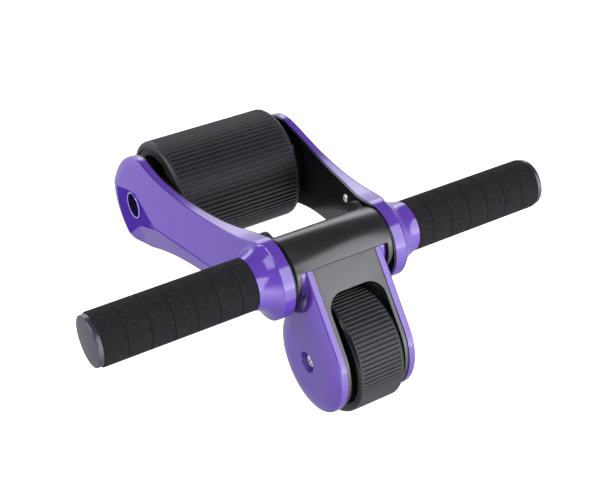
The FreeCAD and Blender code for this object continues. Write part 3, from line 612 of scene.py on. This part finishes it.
def tailLevel(y, z):
    # the tail's flat, leaning out towards the rear and hollowed round the axle
    reach = np.hypot(y - roller[1], z - roller[2])
    hollow = armSizes["bowlDeep"] * np.clip(1 - (reach / armSizes["bowlRad"]) ** 2, 0, 1) ** 2
    tilt = armSizes["tailTilt"] * np.clip(y - roller[1] + armSizes["tiltStart"], 0, None)
    return armSizes["tailFlat"] + tilt - hollow


def tailRoll(y, z):
    # width of the rolled rear edge, and how far into it a point lies, 1 at the outline
    back = y - roller[1]
    reach = np.hypot(back, z - roller[2])
    facing = np.clip(back / np.maximum(reach, 1), armSizes["roundLeast"], 1)
    bend = armSizes["tailRound"] * facing ** armSizes["roundPower"]
    return bend, np.where(back > 0, 1 - (armSizes["tailRad"] - reach) / bend, -1)


def armFace(points):
    y, z = points[..., 0], points[..., 1]
    face = np.minimum(openFace(y, z), tailLevel(y, z))
    bend, past = tailRoll(y, z)
    past = np.clip(past, 0, 1)
    sink = armSizes["tailSink"] * (1 - np.sqrt(1 - past ** 2)) + armSizes["tailKink"] * past
    face = face - bend * sink
    hidden = armSizes["noseFade"] * (1 - fadeIn(y, *armSizes["noseSpan"]))
    blend = armSizes["blend"][0] + armSizes["blend"][1] * fadeIn(y, *armSizes["blendSpan"])
    return smoothMax(face - hidden, flareHeight(points), blend)


def armOutline(inset, counts):
    nose = (armSizes["noseBack"], -armSizes["noseDrop"], armSizes["noseRad"] - inset)
    tail = (roller[1], roller[2], armSizes["tailRad"] - inset)
    return linkOutline(nose, tail, armSizes["topSweep"] + inset, armSizes["lowSweep"] + inset, counts)


def armSpine():
    y = np.linspace(0, roller[1], spineSteps)
    return np.column_stack([y, creaseLine(y)])


def armShell():
    outline = armOutline(0, armSizes["points"])
    flareEnd = armSizes["gapFront"] + bellSteps[-1]
    near = np.array((0, 0, bellRadii[-1]))
    bore = [(bellRadii[-1] - armSizes["flareEdge"], flareEnd), (armSizes["tubeHole"], flareEnd)]
    lip = armSizes["eyeRad"] + armSizes["eyeLip"]
    far = np.array((roller[1], roller[2], lip))
    inner = holesAndSpine(outline, near, far, armSpine(), armSizes["turnShares"])
    face = float(tailLevel(roller[1], roller[2])) + armSizes["eyeProud"]
    soft = armSizes["eyeLip"] / 2
    eye = [(lip - soft + soft * math.cos(turn), face - soft + soft * math.sin(turn))
           for turn in np.linspace(0, math.pi, eyeSteps)]
    eye += [(armSizes["eyeRad"], armSizes["eyeFloor"]), (armSizes["axleHole"], armSizes["eyeFloor"])]
    half = armSizes["creaseGap"] / 2
    close = (*creaseApproach, *(share * half for share in creaseRows))
    widen = fadeIn(outline["points"][:, 0], *armSizes["edgeSpan"])
    edges = armSizes["rimEdge"] + (armSizes["edge"] - armSizes["rimEdge"]) * widen
    rows = (rimRows(armSizes["edge"], armSizes["edgeLast"]), armSizes["rows"], close)
    return linkShell(outline, inner, armFace, lambda p: armInside(p[..., 0]), edges, rows,
                     (near[:2], bore), (far[:2], eye), armSizes["parting"])


def innerPlate():
    # drawn with its shown side up, so x is counted backwards
    outline = armOutline(plateSizes["inset"], plateSizes["points"])
    near = np.array((0, 0, armSizes["tubeHole"]))
    far = np.array((roller[1], roller[2], armSizes["axleHole"]))
    inner = holesAndSpine(outline, near, far, armSpine(), plateSizes["turnShares"])
    rim = [share * plateSizes["edge"] for share in plateSizes["rimShares"]]
    shape = linkShell(outline, inner, lambda p: plateSizes["show"] - armInside(p[..., 0]),
                      lambda p: plateSizes["slip"] - armInside(p[..., 0]), plateSizes["edge"],
                      (rim, plateSizes["rows"], plateSizes["close"]), (near[:2], []), (far[:2], []))
    return mirrored(shape)


dishPaint = {
    "below": 3.0, "insideRim": 1.0, "pitMargin": 0.1, "lipReach": 3.0, "lipShare": 0.4, "sunk": 0.2,
    "level": 0.98,
}


def paintDish(item, flat, lip, pit):
    # cuts the mesh along the borders of the tail's flat; the flat gets a deeper purple, partly painted shade,
    # the lip a painted highlight and the hole painted shade
    for finish in (flat, lip, pit):
        item.data.materials.append(finish)
    bm = bmesh.new()
    bm.from_mesh(item.data)

    def measure(places):
        x, y, z = ((np.array(places) - handle) / mm).T
        level = tailLevel(y, z)
        return {"out": np.abs(x) - level,                          # height over the flat
                "reach": np.hypot(y - roller[1], z - roller[2]),   # distance from the axle
                "rise": openFace(y, z) - level,                    # height of the open face over the flat
                "roll": tailRoll(y, z)[1]}                         # how far into the rolled edge

    for border in ("rise", "roll"):
        bm.verts.index_update()
        found = measure([v.co[:] for v in bm.verts])
        side, shown = found[border], found["out"] > -dishPaint["below"]
        inside = found["reach"] < armSizes["tailRad"] - dishPaint["insideRim"]
        cuts = set()
        for edge in list(bm.edges):
            a, b = [v.index for v in edge.verts]
            if side[a] * side[b] < 0 and shown[a] and shown[b] and (inside[a] or inside[b]):
                cuts.add(bmesh.utils.edge_split(edge, edge.verts[0], side[a] / (side[a] - side[b]))[1])
        for face in list(bm.faces):
            pair = [v for v in face.verts if v in cuts]
            if len(pair) == 2:
                bmesh.utils.face_split(face, *pair)
    found = measure([f.calc_center_median()[:] for f in bm.faces])
    lipHeight = dishPaint["lipShare"] * armSizes["eyeProud"]
    for face, out, reach, rise, roll in zip(bm.faces, *found.values()):
        past = reach - armSizes["eyeRad"]
        if past < dishPaint["pitMargin"]:
            face.material_index = 3
        elif rise < 0 or out < -dishPaint["sunk"]:
            continue
        elif past < dishPaint["lipReach"] and out > lipHeight:
            face.material_index = 2
        elif roll < 0 and abs(face.normal.x) > dishPaint["level"]:
            face.material_index = 1
    bm.to_mesh(item.data)
    bm.free()


rightArm = armShell()
rightPlate = innerPlate()
for side, arm, plate in (("right", rightArm, rightPlate), ("left", mirrored(rightArm), mirrored(rightPlate))):
    piece = newObject(side + "_arm_moulding", arm)
    addPiece(piece, purpleGloss, "frame", [side + "_arm_shell"])
    paintDish(piece, purpleDishMatteAndPaintedShade, purpleLipPaintedHighlight, purplePitPaintedShade)
    piece = newObject(side + "_arm_lining", plate)
    addPiece(piece, glossBlackAndPaintedWheelShade, "frame", [side + "_inner_plate"])
print("arms done")


# Fork plates: domed purple cheeks with a hub round the handle and a sunk axle hole
forkSizes = {
    "hubRad": 19.4, "discRad": 36.0, "waist": 40.0, "inner": 24.0, "rim": 4.5, "crown": 3.5, "slope": 14.0,
    "power": 1.91, "edge": 0.9, "hubFace": 32.3, "hubEdge": 0.6, "hubSink": 0.3, "tubeHole": 12.8,
    "eyeRad": 7.2, "eyeSoft": 0.5, "eyeFloor": 26.2, "axleHole": 4.05, "neck": (20.0, 31.0), "edgeLast": 2,
    "points": (90, 120, 170), "spine": 400, "turnShares": (0.08, 0.12), "rows": 24, "close": (1.5, 0.5, 0),
    "hubSteps": 120,
}
eyeEase = 0.3   # how far the eye's rounding has come at its middle
searchBatch = 4000


def forkOutline(counts):
    hub = (0, 0, forkSizes["hubRad"] - forkSizes["hubSink"])
    disc = (wheel[1], wheel[2], forkSizes["discRad"])
    return linkOutline(hub, disc, forkSizes["waist"], None, counts)


def edgeDistance(points, loop):
    # distance of each point from a closed outline
    a, b = loop, np.roll(loop, -1, axis=0)
    run = b - a
    flat = points.reshape(-1, 2)
    out = np.empty(len(flat))
    for i in range(0, len(flat), searchBatch):
        part = slice(i, i + searchBatch)
        gap = flat[part, None] - a
        t = np.clip((gap * run).sum(-1) / (run * run).sum(-1), 0, 1)
        out[part] = np.hypot(*(gap - t[..., None] * run).transpose(2, 0, 1)).min(axis=1)
    return out.reshape(points.shape[:-1])


def forkPlate():
    outline = forkOutline(forkSizes["points"])
    near = np.array((0, 0, forkSizes["tubeHole"]))
    soft = forkSizes["eyeSoft"]
    far = np.array((wheel[1], wheel[2], forkSizes["eyeRad"] + soft))
    spine = np.linspace((0, 0), wheel[1:], forkSizes["spine"])
    inner = holesAndSpine(outline, near, far, spine, forkSizes["turnShares"])

    def dome(points):
        depth = np.clip(edgeDistance(points, outline["points"]) / forkSizes["slope"], 0, 1)
        rise = forkSizes["crown"] * (1 - (1 - depth) ** forkSizes["power"])
        rise = rise * fadeIn(np.hypot(*np.moveaxis(points, -1, 0)), *forkSizes["neck"])
        return forkSizes["inner"] + forkSizes["rim"] + rise

    face = forkSizes["inner"] + forkSizes["rim"] + forkSizes["crown"]
    ease = eyeEase * soft
    eye = [(forkSizes["eyeRad"] + ease, face - ease), (forkSizes["eyeRad"], face - soft),
           (forkSizes["eyeRad"], forkSizes["eyeFloor"]), (forkSizes["axleHole"], forkSizes["eyeFloor"])]
    rows = (rimRows(forkSizes["edge"], forkSizes["edgeLast"]), forkSizes["rows"], forkSizes["close"])
    plate = linkShell(outline, inner, dome, lambda p: np.full(p.shape[:-1], forkSizes["inner"]),
                      forkSizes["edge"], rows, (near[:2], []), (far[:2], eye))
    hole, rad = forkSizes["tubeHole"], forkSizes["hubRad"]
    hub = rounded([(forkSizes["inner"], hole), (forkSizes["hubFace"], hole), (forkSizes["hubFace"], rad),
                   (forkSizes["inner"], rad)], (0, 0, forkSizes["hubEdge"], 0))
    return joined(plate, turned(hub, forkSizes["hubSteps"]))


rightFork = forkPlate()
for side, shape in (("right", rightFork), ("left", mirrored(rightFork))):
    piece = newObject(side + "_fork_cheek", shape)
    addPiece(piece, purpleGloss, "fork", [side + "_fork_plate"])
print("fork plates done")


# Grips and end caps
gripSizes = {
    "start": 61.2, "length": 103.7, "rad": 17.5, "bore": 12.55, "edge": 1.0, "grooves": 6, "first": 11.9,
    "pitch": 15.3, "wide": 0.7, "deep": 0.6, "lip": 4.1, "capRad": 16.6, "capEdge": 0.7, "stem": 18.0,
    "stemRad": 10.9, "dome": 0.5, "grooveLip": 0.15, "grooveFoot": 0.05, "stemEdge": 0.8, "capFoot": 0.3,
    "steps": 120,
}


def gripShape():
    start, end, rad = gripSizes["start"], gripSizes["start"] + gripSizes["length"], gripSizes["rad"]
    half, lip = gripSizes["wide"] / 2, gripSizes["grooveLip"]
    points, radii = [(start, gripSizes["bore"]), (start, rad)], [0, gripSizes["edge"]]
    for i in range(gripSizes["grooves"]):
        x = start + gripSizes["first"] + i * gripSizes["pitch"]
        points += [(x - half, rad), (x, rad - gripSizes["deep"]), (x + half, rad)]
        radii += [lip, gripSizes["grooveFoot"], lip]
    points += [(end, rad), (end, gripSizes["bore"])]
    radii += [gripSizes["edge"], 0]
    return turned(rounded(points, radii, steps=4), gripSizes["steps"])


def capShape():
    start, rad = gripSizes["start"] + gripSizes["length"], gripSizes["capRad"]
    face, stem = start + gripSizes["lip"], gripSizes["stemRad"]
    points = [(start - gripSizes["stem"], 0), (start - gripSizes["stem"], stem), (start, stem), (start, rad),
              (face - gripSizes["dome"], rad), (face, 0)]
    radii = (0, gripSizes["stemEdge"], 0, gripSizes["capFoot"], gripSizes["capEdge"], 0)
    return turned(rounded(points, radii, steps=6), gripSizes["steps"])


rightGrip, rightCap = gripShape(), capShape()
for side, grip, cap in (("right", rightGrip, rightCap), ("left", mirrored(rightGrip), mirrored(rightCap))):
    piece = newObject(side + "_foam_grip", grip)
    addPiece(piece, foamSkin, "frame", [side + "_grip"])
    piece = newObject(side + "_cap", cap)
    addPiece(piece, capBlack, "frame", [side + "_end_cap"])
print("grips and caps done")


# Moulded pieces whose solids only need softer edges, and painted shade on the housing's cut edges
squareShare = 0.93   # faces of the round outside look away from the handle at least this squarely


def isPaintedShadeCut(face):
    # not part of the round outside; on the housing these faces get painted shade
    away = np.array(face.center)[1:] - handle[1:]
    return abs(away @ np.array(face.normal)[1:]) < squareShare * np.hypot(*away)


for node, name, finish, body, slotName, width, clamp in (
        ("centre_housing", "handle_housing", satinBlack, "frame", "black", 0.7, False),
        ("fork_cover", "fork_body", satinBlack, "fork", "black", 0.8, True),
        ("roller_core", "roller_drum", drumBlackAndPaintedCutShade, "roller", "core", 0.4, True),
        ("wheel_hub", "wheel_drum", drumBlackAndPaintedCutShade, "wheel", "core", 0.4, True)):
    piece = addPiece(eased(node, name, width, clamp), finish, body, [node])
    # the housing's cut edges at the window and ends get a darker black: painted shade
    if name == "handle_housing":
        paintWhere(piece, drumBlackAndPaintedCutShade, isPaintedShadeCut)
print("mouldings done")


# Node trees for what repeats, and the treads: one rib set round the x axis

def geometryTree(name, inputs):
    tree = bpy.data.node_groups.new(name, "GeometryNodeTree")
    tree.is_modifier = True
    tree.interface.new_socket("Geometry", in_out="INPUT", socket_type="NodeSocketGeometry")
    for label, kind in inputs:
        tree.interface.new_socket(label, in_out="INPUT", socket_type="NodeSocket" + kind)
    tree.interface.new_socket("Geometry", in_out="OUTPUT", socket_type="NodeSocketGeometry")
    return tree, tree.nodes.new("NodeGroupInput"), tree.nodes.new("NodeGroupOutput")


def copiesOn(tree, spots, source, angles):
    # one object set on each point and turned by its angles
    info = addNode(tree, "GeometryNodeObjectInfo")
    feed(tree, source, info.inputs["Object"])
    rotation = addNode(tree, "FunctionNodeEulerToRotation")
    feed(tree, angles, rotation.inputs[0])
    copies = addNode(tree, "GeometryNodeInstanceOnPoints")
    for label, value in (("Points", spots), ("Instance", info.outputs["Geometry"]),
                         ("Rotation", rotation.outputs[0])):
        feed(tree, value, copies.inputs[label])
    return copies.outputs["Instances"]


def finishTree(tree, entry, leave, instances, last):
    # realised, merged and given its material
    realize = addNode(tree, "GeometryNodeRealizeInstances")
    feed(tree, instances, realize.inputs["Geometry"])
    result = realize.outputs["Geometry"]
    for node in last:
        feed(tree, result, node.inputs["Geometry"])
        result = node.outputs["Geometry"]
    paint = addNode(tree, "GeometryNodeSetMaterial")
    feed(tree, result, paint.inputs["Geometry"])
    feed(tree, entry.outputs["Finish"], paint.inputs["Material"])
    feed(tree, paint.outputs["Geometry"], leave.inputs["Geometry"])


def repeatRound():
    inputs = [("Slice", "Object"), ("Count", "Int"), ("Place", "Vector"), ("Weld", "Float"),
              ("Finish", "Material")]
    tree, entry, leave = geometryTree("repeatRound", inputs)
    count = entry.outputs["Count"]
    spots = addNode(tree, "GeometryNodePoints")
    feed(tree, count, spots.inputs["Count"])
    turn = mathNode(tree, "DIVIDE", addNode(tree, "GeometryNodeInputIndex").outputs[0], count)
    angles = addNode(tree, "ShaderNodeCombineXYZ")
    feed(tree, mathNode(tree, "MULTIPLY", turn, tau), angles.inputs["X"])
    copies = copiesOn(tree, spots.outputs[0], entry.outputs["Slice"], angles.outputs[0])
    weld = addNode(tree, "GeometryNodeMergeByDistance")
    feed(tree, entry.outputs["Weld"], weld.inputs["Distance"])
    move = addNode(tree, "GeometryNodeTransform")
    feed(tree, entry.outputs["Place"], move.inputs["Translation"])
    finishTree(tree, entry, leave, copies, (weld, move))
    return tree


def runTree(item, tree, values):
    modifier = item.modifiers.new(tree.name, "NODES")
    modifier.node_group = tree
    for socket in tree.interface.items_tree:
        if socket.in_out == "INPUT" and socket.name in values:
            modifier[socket.identifier] = values[socket.name]
    plainMesh(item)


treadSizes = {
    "roller": {"rad": 41.4, "half": 48.2, "ribbed": 45.3, "shoulder": 2.4, "wall": 4.4, "ribs": 73,
               "groove": 1.7, "foot": 1.0, "deep": 1.5, "fade": 2.2},
    "wheel": {"rad": 40.1, "half": 18.0, "ribbed": 15.0, "shoulder": 3.2, "wall": 6.0, "ribs": 80,
              "groove": 1.2, "foot": 0.6, "deep": 0.9, "fade": 1.4},
}
ribShape = {
    "lip": 0.25, "crest": 0.37, "depthShares": (1.0, 0.97, 0.3, 0.06, 0, 0),
    "endShares": (1, 0.96, 0.86, 0.7, 0.5, 0.25, 0), "fadeShares": (0.33, 0.66, 1.0), "runOut": 0.25,
}


def ribEnd(sizes):
    # where the grooves have run out on the shoulder
    return sizes["ribbed"] + ribShape["runOut"] * (sizes["half"] - sizes["ribbed"])


def ribSlice(sizes):
    # one rib with half a groove on each side, from end to end and closed inside
    rad, half, ribbed = sizes["rad"], sizes["half"], sizes["ribbed"]
    pitch = tau * rad / sizes["ribs"]
    across = np.array((0, sizes["foot"] / 2, sizes["groove"] / 2, sizes["groove"] / 2 + ribShape["lip"],
                       ribShape["crest"] * pitch, pitch / 2))
    sunk = np.array(ribShape["depthShares"]) * sizes["deep"]
    offsets = np.concatenate([across, (pitch - across)[-2::-1]]) - pitch / 2
    sunk = np.concatenate([sunk, sunk[-2::-1]])
    ends = ribbed + np.array(ribShape["endShares"]) * (half - ribbed)
    x = np.concatenate([ends, ribbed - sizes["fade"] * np.array(ribShape["fadeShares"])])
    x = np.concatenate([-x, [0], x[::-1]])
    past = np.clip((np.abs(x) - ribbed) / (half - ribbed), 0, 1)
    envelope = rad - sizes["shoulder"] * (1 - np.sqrt(1 - past ** 2))
    show = 1 - fadeIn(np.abs(x), ribbed - sizes["fade"], ribEnd(sizes))
    rows = [(a, r, s) for a, r, s in zip(x, envelope, show)]
    rows += [(half, rad - sizes["wall"], 0), (-half, rad - sizes["wall"], 0)]
    verts, rings = [], []
    for offset, deep in zip(offsets, sunk):
        angle = offset / rad
        rings.append(np.arange(len(rows)) + len(verts))
        for a, r, s in rows:
            reach = r - deep * s
            verts.append((a, reach * math.sin(angle), reach * math.cos(angle)))
    return np.array(verts), ringFaces(rings)


def isPaintedShadeWheelSide(face):
    # past the ends of the wheel's ribs, where the sides get a darker black that is partly painted shade under
    # the fork arch
    return abs(face.center.x - handle[0]) > ribEnd(treadSizes["wheel"]) * mm


roundTree = repeatRound()
ribWeld = 0.02 * mm
for name, place in (("roller", roller), ("wheel", wheel)):
    slicePiece = newObject(name + "_slice", ribSlice(treadSizes[name]), place=False)
    piece = newObject(name + "_ribbed_tread", (np.zeros((1, 3)), []))
    runTree(piece, roundTree, {"Slice": slicePiece, "Count": treadSizes[name]["ribs"],
                               "Place": tuple(place * mm + handle), "Weld": ribWeld, "Finish": ribRubber})
    bpy.data.objects.remove(slicePiece)
    addPiece(piece, ribRubber, name, [name + "_tread"], sharp=50)
    # the smooth sides past the ribs get a darker gloss black: partly their own gloss, partly painted shade
    if name == "wheel":
        paintWhere(piece, glossBlackAndPaintedWheelShade, isPaintedShadeWheelSide)
print("treads done")


# Screws: one head and shank for each size, set where its seats are
screwSizes = {
    "arm_screws": {"head": 3.0, "rise": 2.0, "shank": 1.6, "length": 6.0, "body": "frame"},
    "rear_axle_screws": {"head": 5.4, "rise": 3.2, "shank": 2.5, "length": 11.7, "body": "frame"},
    "front_axle_screws": {"head": 5.0, "rise": 4.0, "shank": 2.0, "length": 9.7, "body": "fork"},
}
# The head's outline and the cross, as shares of the head's rise and radius
headShares = {"side": 0.45, "shoulderRise": 0.8, "shoulder": 0.8, "crown": 0.35}
crossShares = {"wide": 0.3, "long": 1.25, "deep": 0.55}
headRounds = {"tip": 0.3, "seat": 0.1, "side": 0.5, "shoulder": 1.2, "crown": 0.5}
screwSteps = 40


def screwShape(sizes):
    rise, head = sizes["rise"], sizes["head"]
    points = [(-sizes["length"], 0), (-sizes["length"], sizes["shank"]), (0, sizes["shank"]), (0, head),
              (headShares["side"] * rise, head),
              (headShares["shoulderRise"] * rise, headShares["shoulder"] * head),
              (rise, headShares["crown"] * head), (rise, 0)]
    tip, seat, side, shoulder, crown = headRounds.values()
    return turned(rounded(points, (0, tip, 0, seat, side, shoulder, crown, 0), steps=4), screwSteps)


def crossCutter(sizes):
    # two crossed blades sunk into the head
    rise, head = sizes["rise"], sizes["head"]
    blades = []
    thin, full = crossShares["wide"], crossShares["long"]
    for wide, long in ((thin, full), (full, thin)):
        corner = np.array((crossShares["deep"] * rise, wide * head / 2, long * head / 2))
        verts = [(corner[0] if a < 0 else 2 * rise, b * corner[1], c * corner[2])
                 for a in (-1, 1) for b in (-1, 1) for c in (-1, 1)]
        faces = [(0, 1, 3, 2), (4, 6, 7, 5), (0, 4, 5, 1), (2, 3, 7, 6), (0, 2, 6, 4), (1, 5, 7, 3)]
        blades.append((np.array(verts), faces))
    return blades


def setOnSeats():
    inputs = [("Fastener", "Object"), ("Finish", "Material")]
    tree, entry, leave = geometryTree("setOnSeats", inputs)
    spots = addNode(tree, "GeometryNodeMeshToPoints")
    feed(tree, entry.outputs["Geometry"], spots.inputs[0])
    facing = addNode(tree, "GeometryNodeInputNamedAttribute", data_type="FLOAT_VECTOR")
    facing.inputs["Name"].default_value = "turn"
    copies = copiesOn(tree, spots.outputs[0], entry.outputs["Fastener"], facing.outputs["Attribute"])
    finishTree(tree, entry, leave, copies, ())
    return tree


# Share of the arm's length, and share of the nose's radius below the crease
armScrewSpots = ((0.31, -0.8), (0.92, -0.8), (0.92, 0.8))
screwTwist = 0.3   # radians for each millimetre along, so that no two crosses line up
screwSink = 0.8


def screwSeats(name):
    # places and outward sides of the right-hand screws
    if name == "rear_axle_screws":
        return [((armSizes["eyeFloor"], roller[1], roller[2]), 1)]
    if name == "front_axle_screws":
        return [((forkSizes["eyeFloor"], wheel[1], wheel[2]), 1)]
    seats = []
    for along, below in armScrewSpots:
        y = along * roller[1]
        z = straightCrease(y) - below * armSizes["noseRad"]
        seats.append(((float(armInside(y)) - plateSizes["show"] + screwSink, y, z), -1))
    return seats


seatTree = setOnSeats()
for name, sizes in screwSizes.items():
    screw = newObject(name + "_pattern", screwShape(sizes), place=False)
    blades = [newObject(name + "_blade", blade, place=False) for blade in crossCutter(sizes)]
    for blade in blades:
        cut = screw.modifiers.new("cross", "BOOLEAN")
        cut.object = blade
        cut.solver = "EXACT"
    plainMesh(screw)
    seats = screwSeats(name)
    seats += [((-spot[0], spot[1], spot[2]), -side) for spot, side in seats]
    piece = newObject(name + "_set", (np.array([spot for spot, side in seats]), []))
    turns = piece.data.attributes.new("turn", "FLOAT_VECTOR", "POINT")
    for vertex, value in zip(piece.data.vertices, turns.data):
        spot = (np.array(vertex.co) - handle) / mm
        side = next(s for p, s in seats if np.allclose(p, spot, atol=0.1))
        value.vector = (screwTwist * spot[1], 0, 0 if side > 0 else math.pi)
    runTree(piece, seatTree, {"Fastener": screw, "Finish": zincPlate})
    for spare in (screw, *blades):
        bpy.data.objects.remove(spare)
    addPiece(piece, zincPlate, sizes["body"], [name], sharp=30)
print("screws done")


# Pieces that stay as they are in the frame
for node, finish in (("handle_tube", tubeSteel), ("rear_axle", tubeSteel), ("front_axle", tubeSteel),
                     ("axle_spacers", nylonPale), ("fork_bushes", nylonPale), ("roller_bushes", nylonPale),
                     ("wheel_bushes", nylonPale)):
    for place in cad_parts[node].material_slots:
        place.material = finish


# Floor, light and camera
studio = {
    "floor": 6.0, "floorTone": 0.86, "glow": 0.92, "ground": 0.48, "horizon": 1.2, "sky": 0.12, "front": 1.2,
    "tint": (0.99, 0.97, 1.04),
}
skyStops = {"ground": 0.1, "horizon": 0.5, "sky": 0.7}   # heights, from 0 straight down to 1 straight up
softboxes = {
    "top": {"at": (-0.5, 0.0, 1.4), "aim": (0, 0, 0.05), "size": (0.9, 0.7), "power": 4.5},
    "left": {"at": (-1.1, 0.5, 0.75), "aim": (-0.06, 0.06, 0.06), "size": (0.8, 0.6), "power": 10},
    "front": {"at": (0.62, -1.0, 0.72), "aim": (0, -0.08, 0.07), "size": (1.2, 1.3), "power": 13.5},
    "back": {"at": (0.85, 1.75, 0.4), "aim": (-0.05, 0.05, 0.06), "size": (2.4, 0.6), "power": 8},
}
cameraSizes = {
    "at": (-0.35361, -0.47775, 0.63644), "right": (0.84659, -0.52060, 0.11076),
    "up": (0.30011, 0.63877, 0.70845), "back": (-0.43957, -0.56653, 0.69701), "lens": 71.82, "sensor": 36.0,
}


def addFloor():
    half = studio["floor"] / 2
    mesh = bpy.data.meshes.new("pale_floor")
    corners = [(-half, -half, 0), (half, -half, 0), (half, half, 0), (-half, half, 0)]
    mesh.from_pydata(corners, [], [range(4)])
    floor = linked("pale_floor", mesh)
    material = moulded("paleFloor", (studio["floorTone"],) * 3, 0.8, shade=0.01, haze=0.02, level=0.1)
    shader = material.node_tree.nodes["Principled BSDF"]
    shader.inputs["Emission Color"].default_value = (1, 1, 1, 1)
    shader.inputs["Emission Strength"].default_value = studio["glow"]
    mesh.materials.append(material)
    floor.visible_diffuse = floor.visible_glossy = False


def addSky(tree):
    # bright at the horizon, dim overhead and below, brighter in front
    rise = addNode(tree, "ShaderNodeSeparateXYZ")
    feed(tree, addNode(tree, "ShaderNodeTexCoord").outputs["Generated"], rise.inputs[0])
    height = mathNode(tree, "ADD", mathNode(tree, "MULTIPLY", rise.outputs["Z"], 0.5), 0.5)
    ramp = addNode(tree, "ShaderNodeValToRGB")
    stops = ramp.color_ramp.elements
    stops.new(skyStops["horizon"])
    for stop, (tone, place) in zip(stops, skyStops.items()):
        stop.position = place
        stop.color = [studio[tone] * part for part in studio["tint"]] + [1]
    feed(tree, height, ramp.inputs["Fac"])
    feed(tree, ramp.outputs["Color"], tree.nodes["Background"].inputs["Color"])
    ahead = mathNode(tree, "MAXIMUM", mathNode(tree, "MULTIPLY", rise.outputs["Y"], -1), 0)
    boost = mathNode(tree, "MULTIPLY", mathNode(tree, "MULTIPLY", ahead, ahead), studio["front"])
    feed(tree, mathNode(tree, "ADD", boost, 1), tree.nodes["Background"].inputs["Strength"])


def addLight(name, sizes):
    data = bpy.data.lights.new(name, "AREA")
    data.shape = "RECTANGLE"
    data.size, data.size_y = sizes["size"]
    data.energy = sizes["power"]
    data.color = studio["tint"]
    lamp = linked(name, data)
    lamp.location = sizes["at"]
    lamp.rotation_euler = (Vector(sizes["aim"]) - Vector(sizes["at"])).to_track_quat("-Z", "Y").to_euler()


def addCamera():
    data = bpy.data.cameras.new("view")
    data.lens = cameraSizes["lens"]
    data.sensor_width = cameraSizes["sensor"]
    camera = linked("view", data)
    axes = Matrix([cameraSizes["right"], cameraSizes["up"], cameraSizes["back"]]).transposed()
    camera.matrix_world = Matrix.LocRotScale(Vector(cameraSizes["at"]), axes.to_quaternion(), None)
    bpy.context.scene.camera = camera


scene = bpy.context.scene
scene.view_settings.view_transform = "Standard"
scene.world = bpy.data.worlds.new("studio")
scene.world.use_nodes = True
addSky(scene.world.node_tree)
addFloor()
for name, sizes in softboxes.items():
    addLight(name, sizes)
addCamera()
print("studio done")
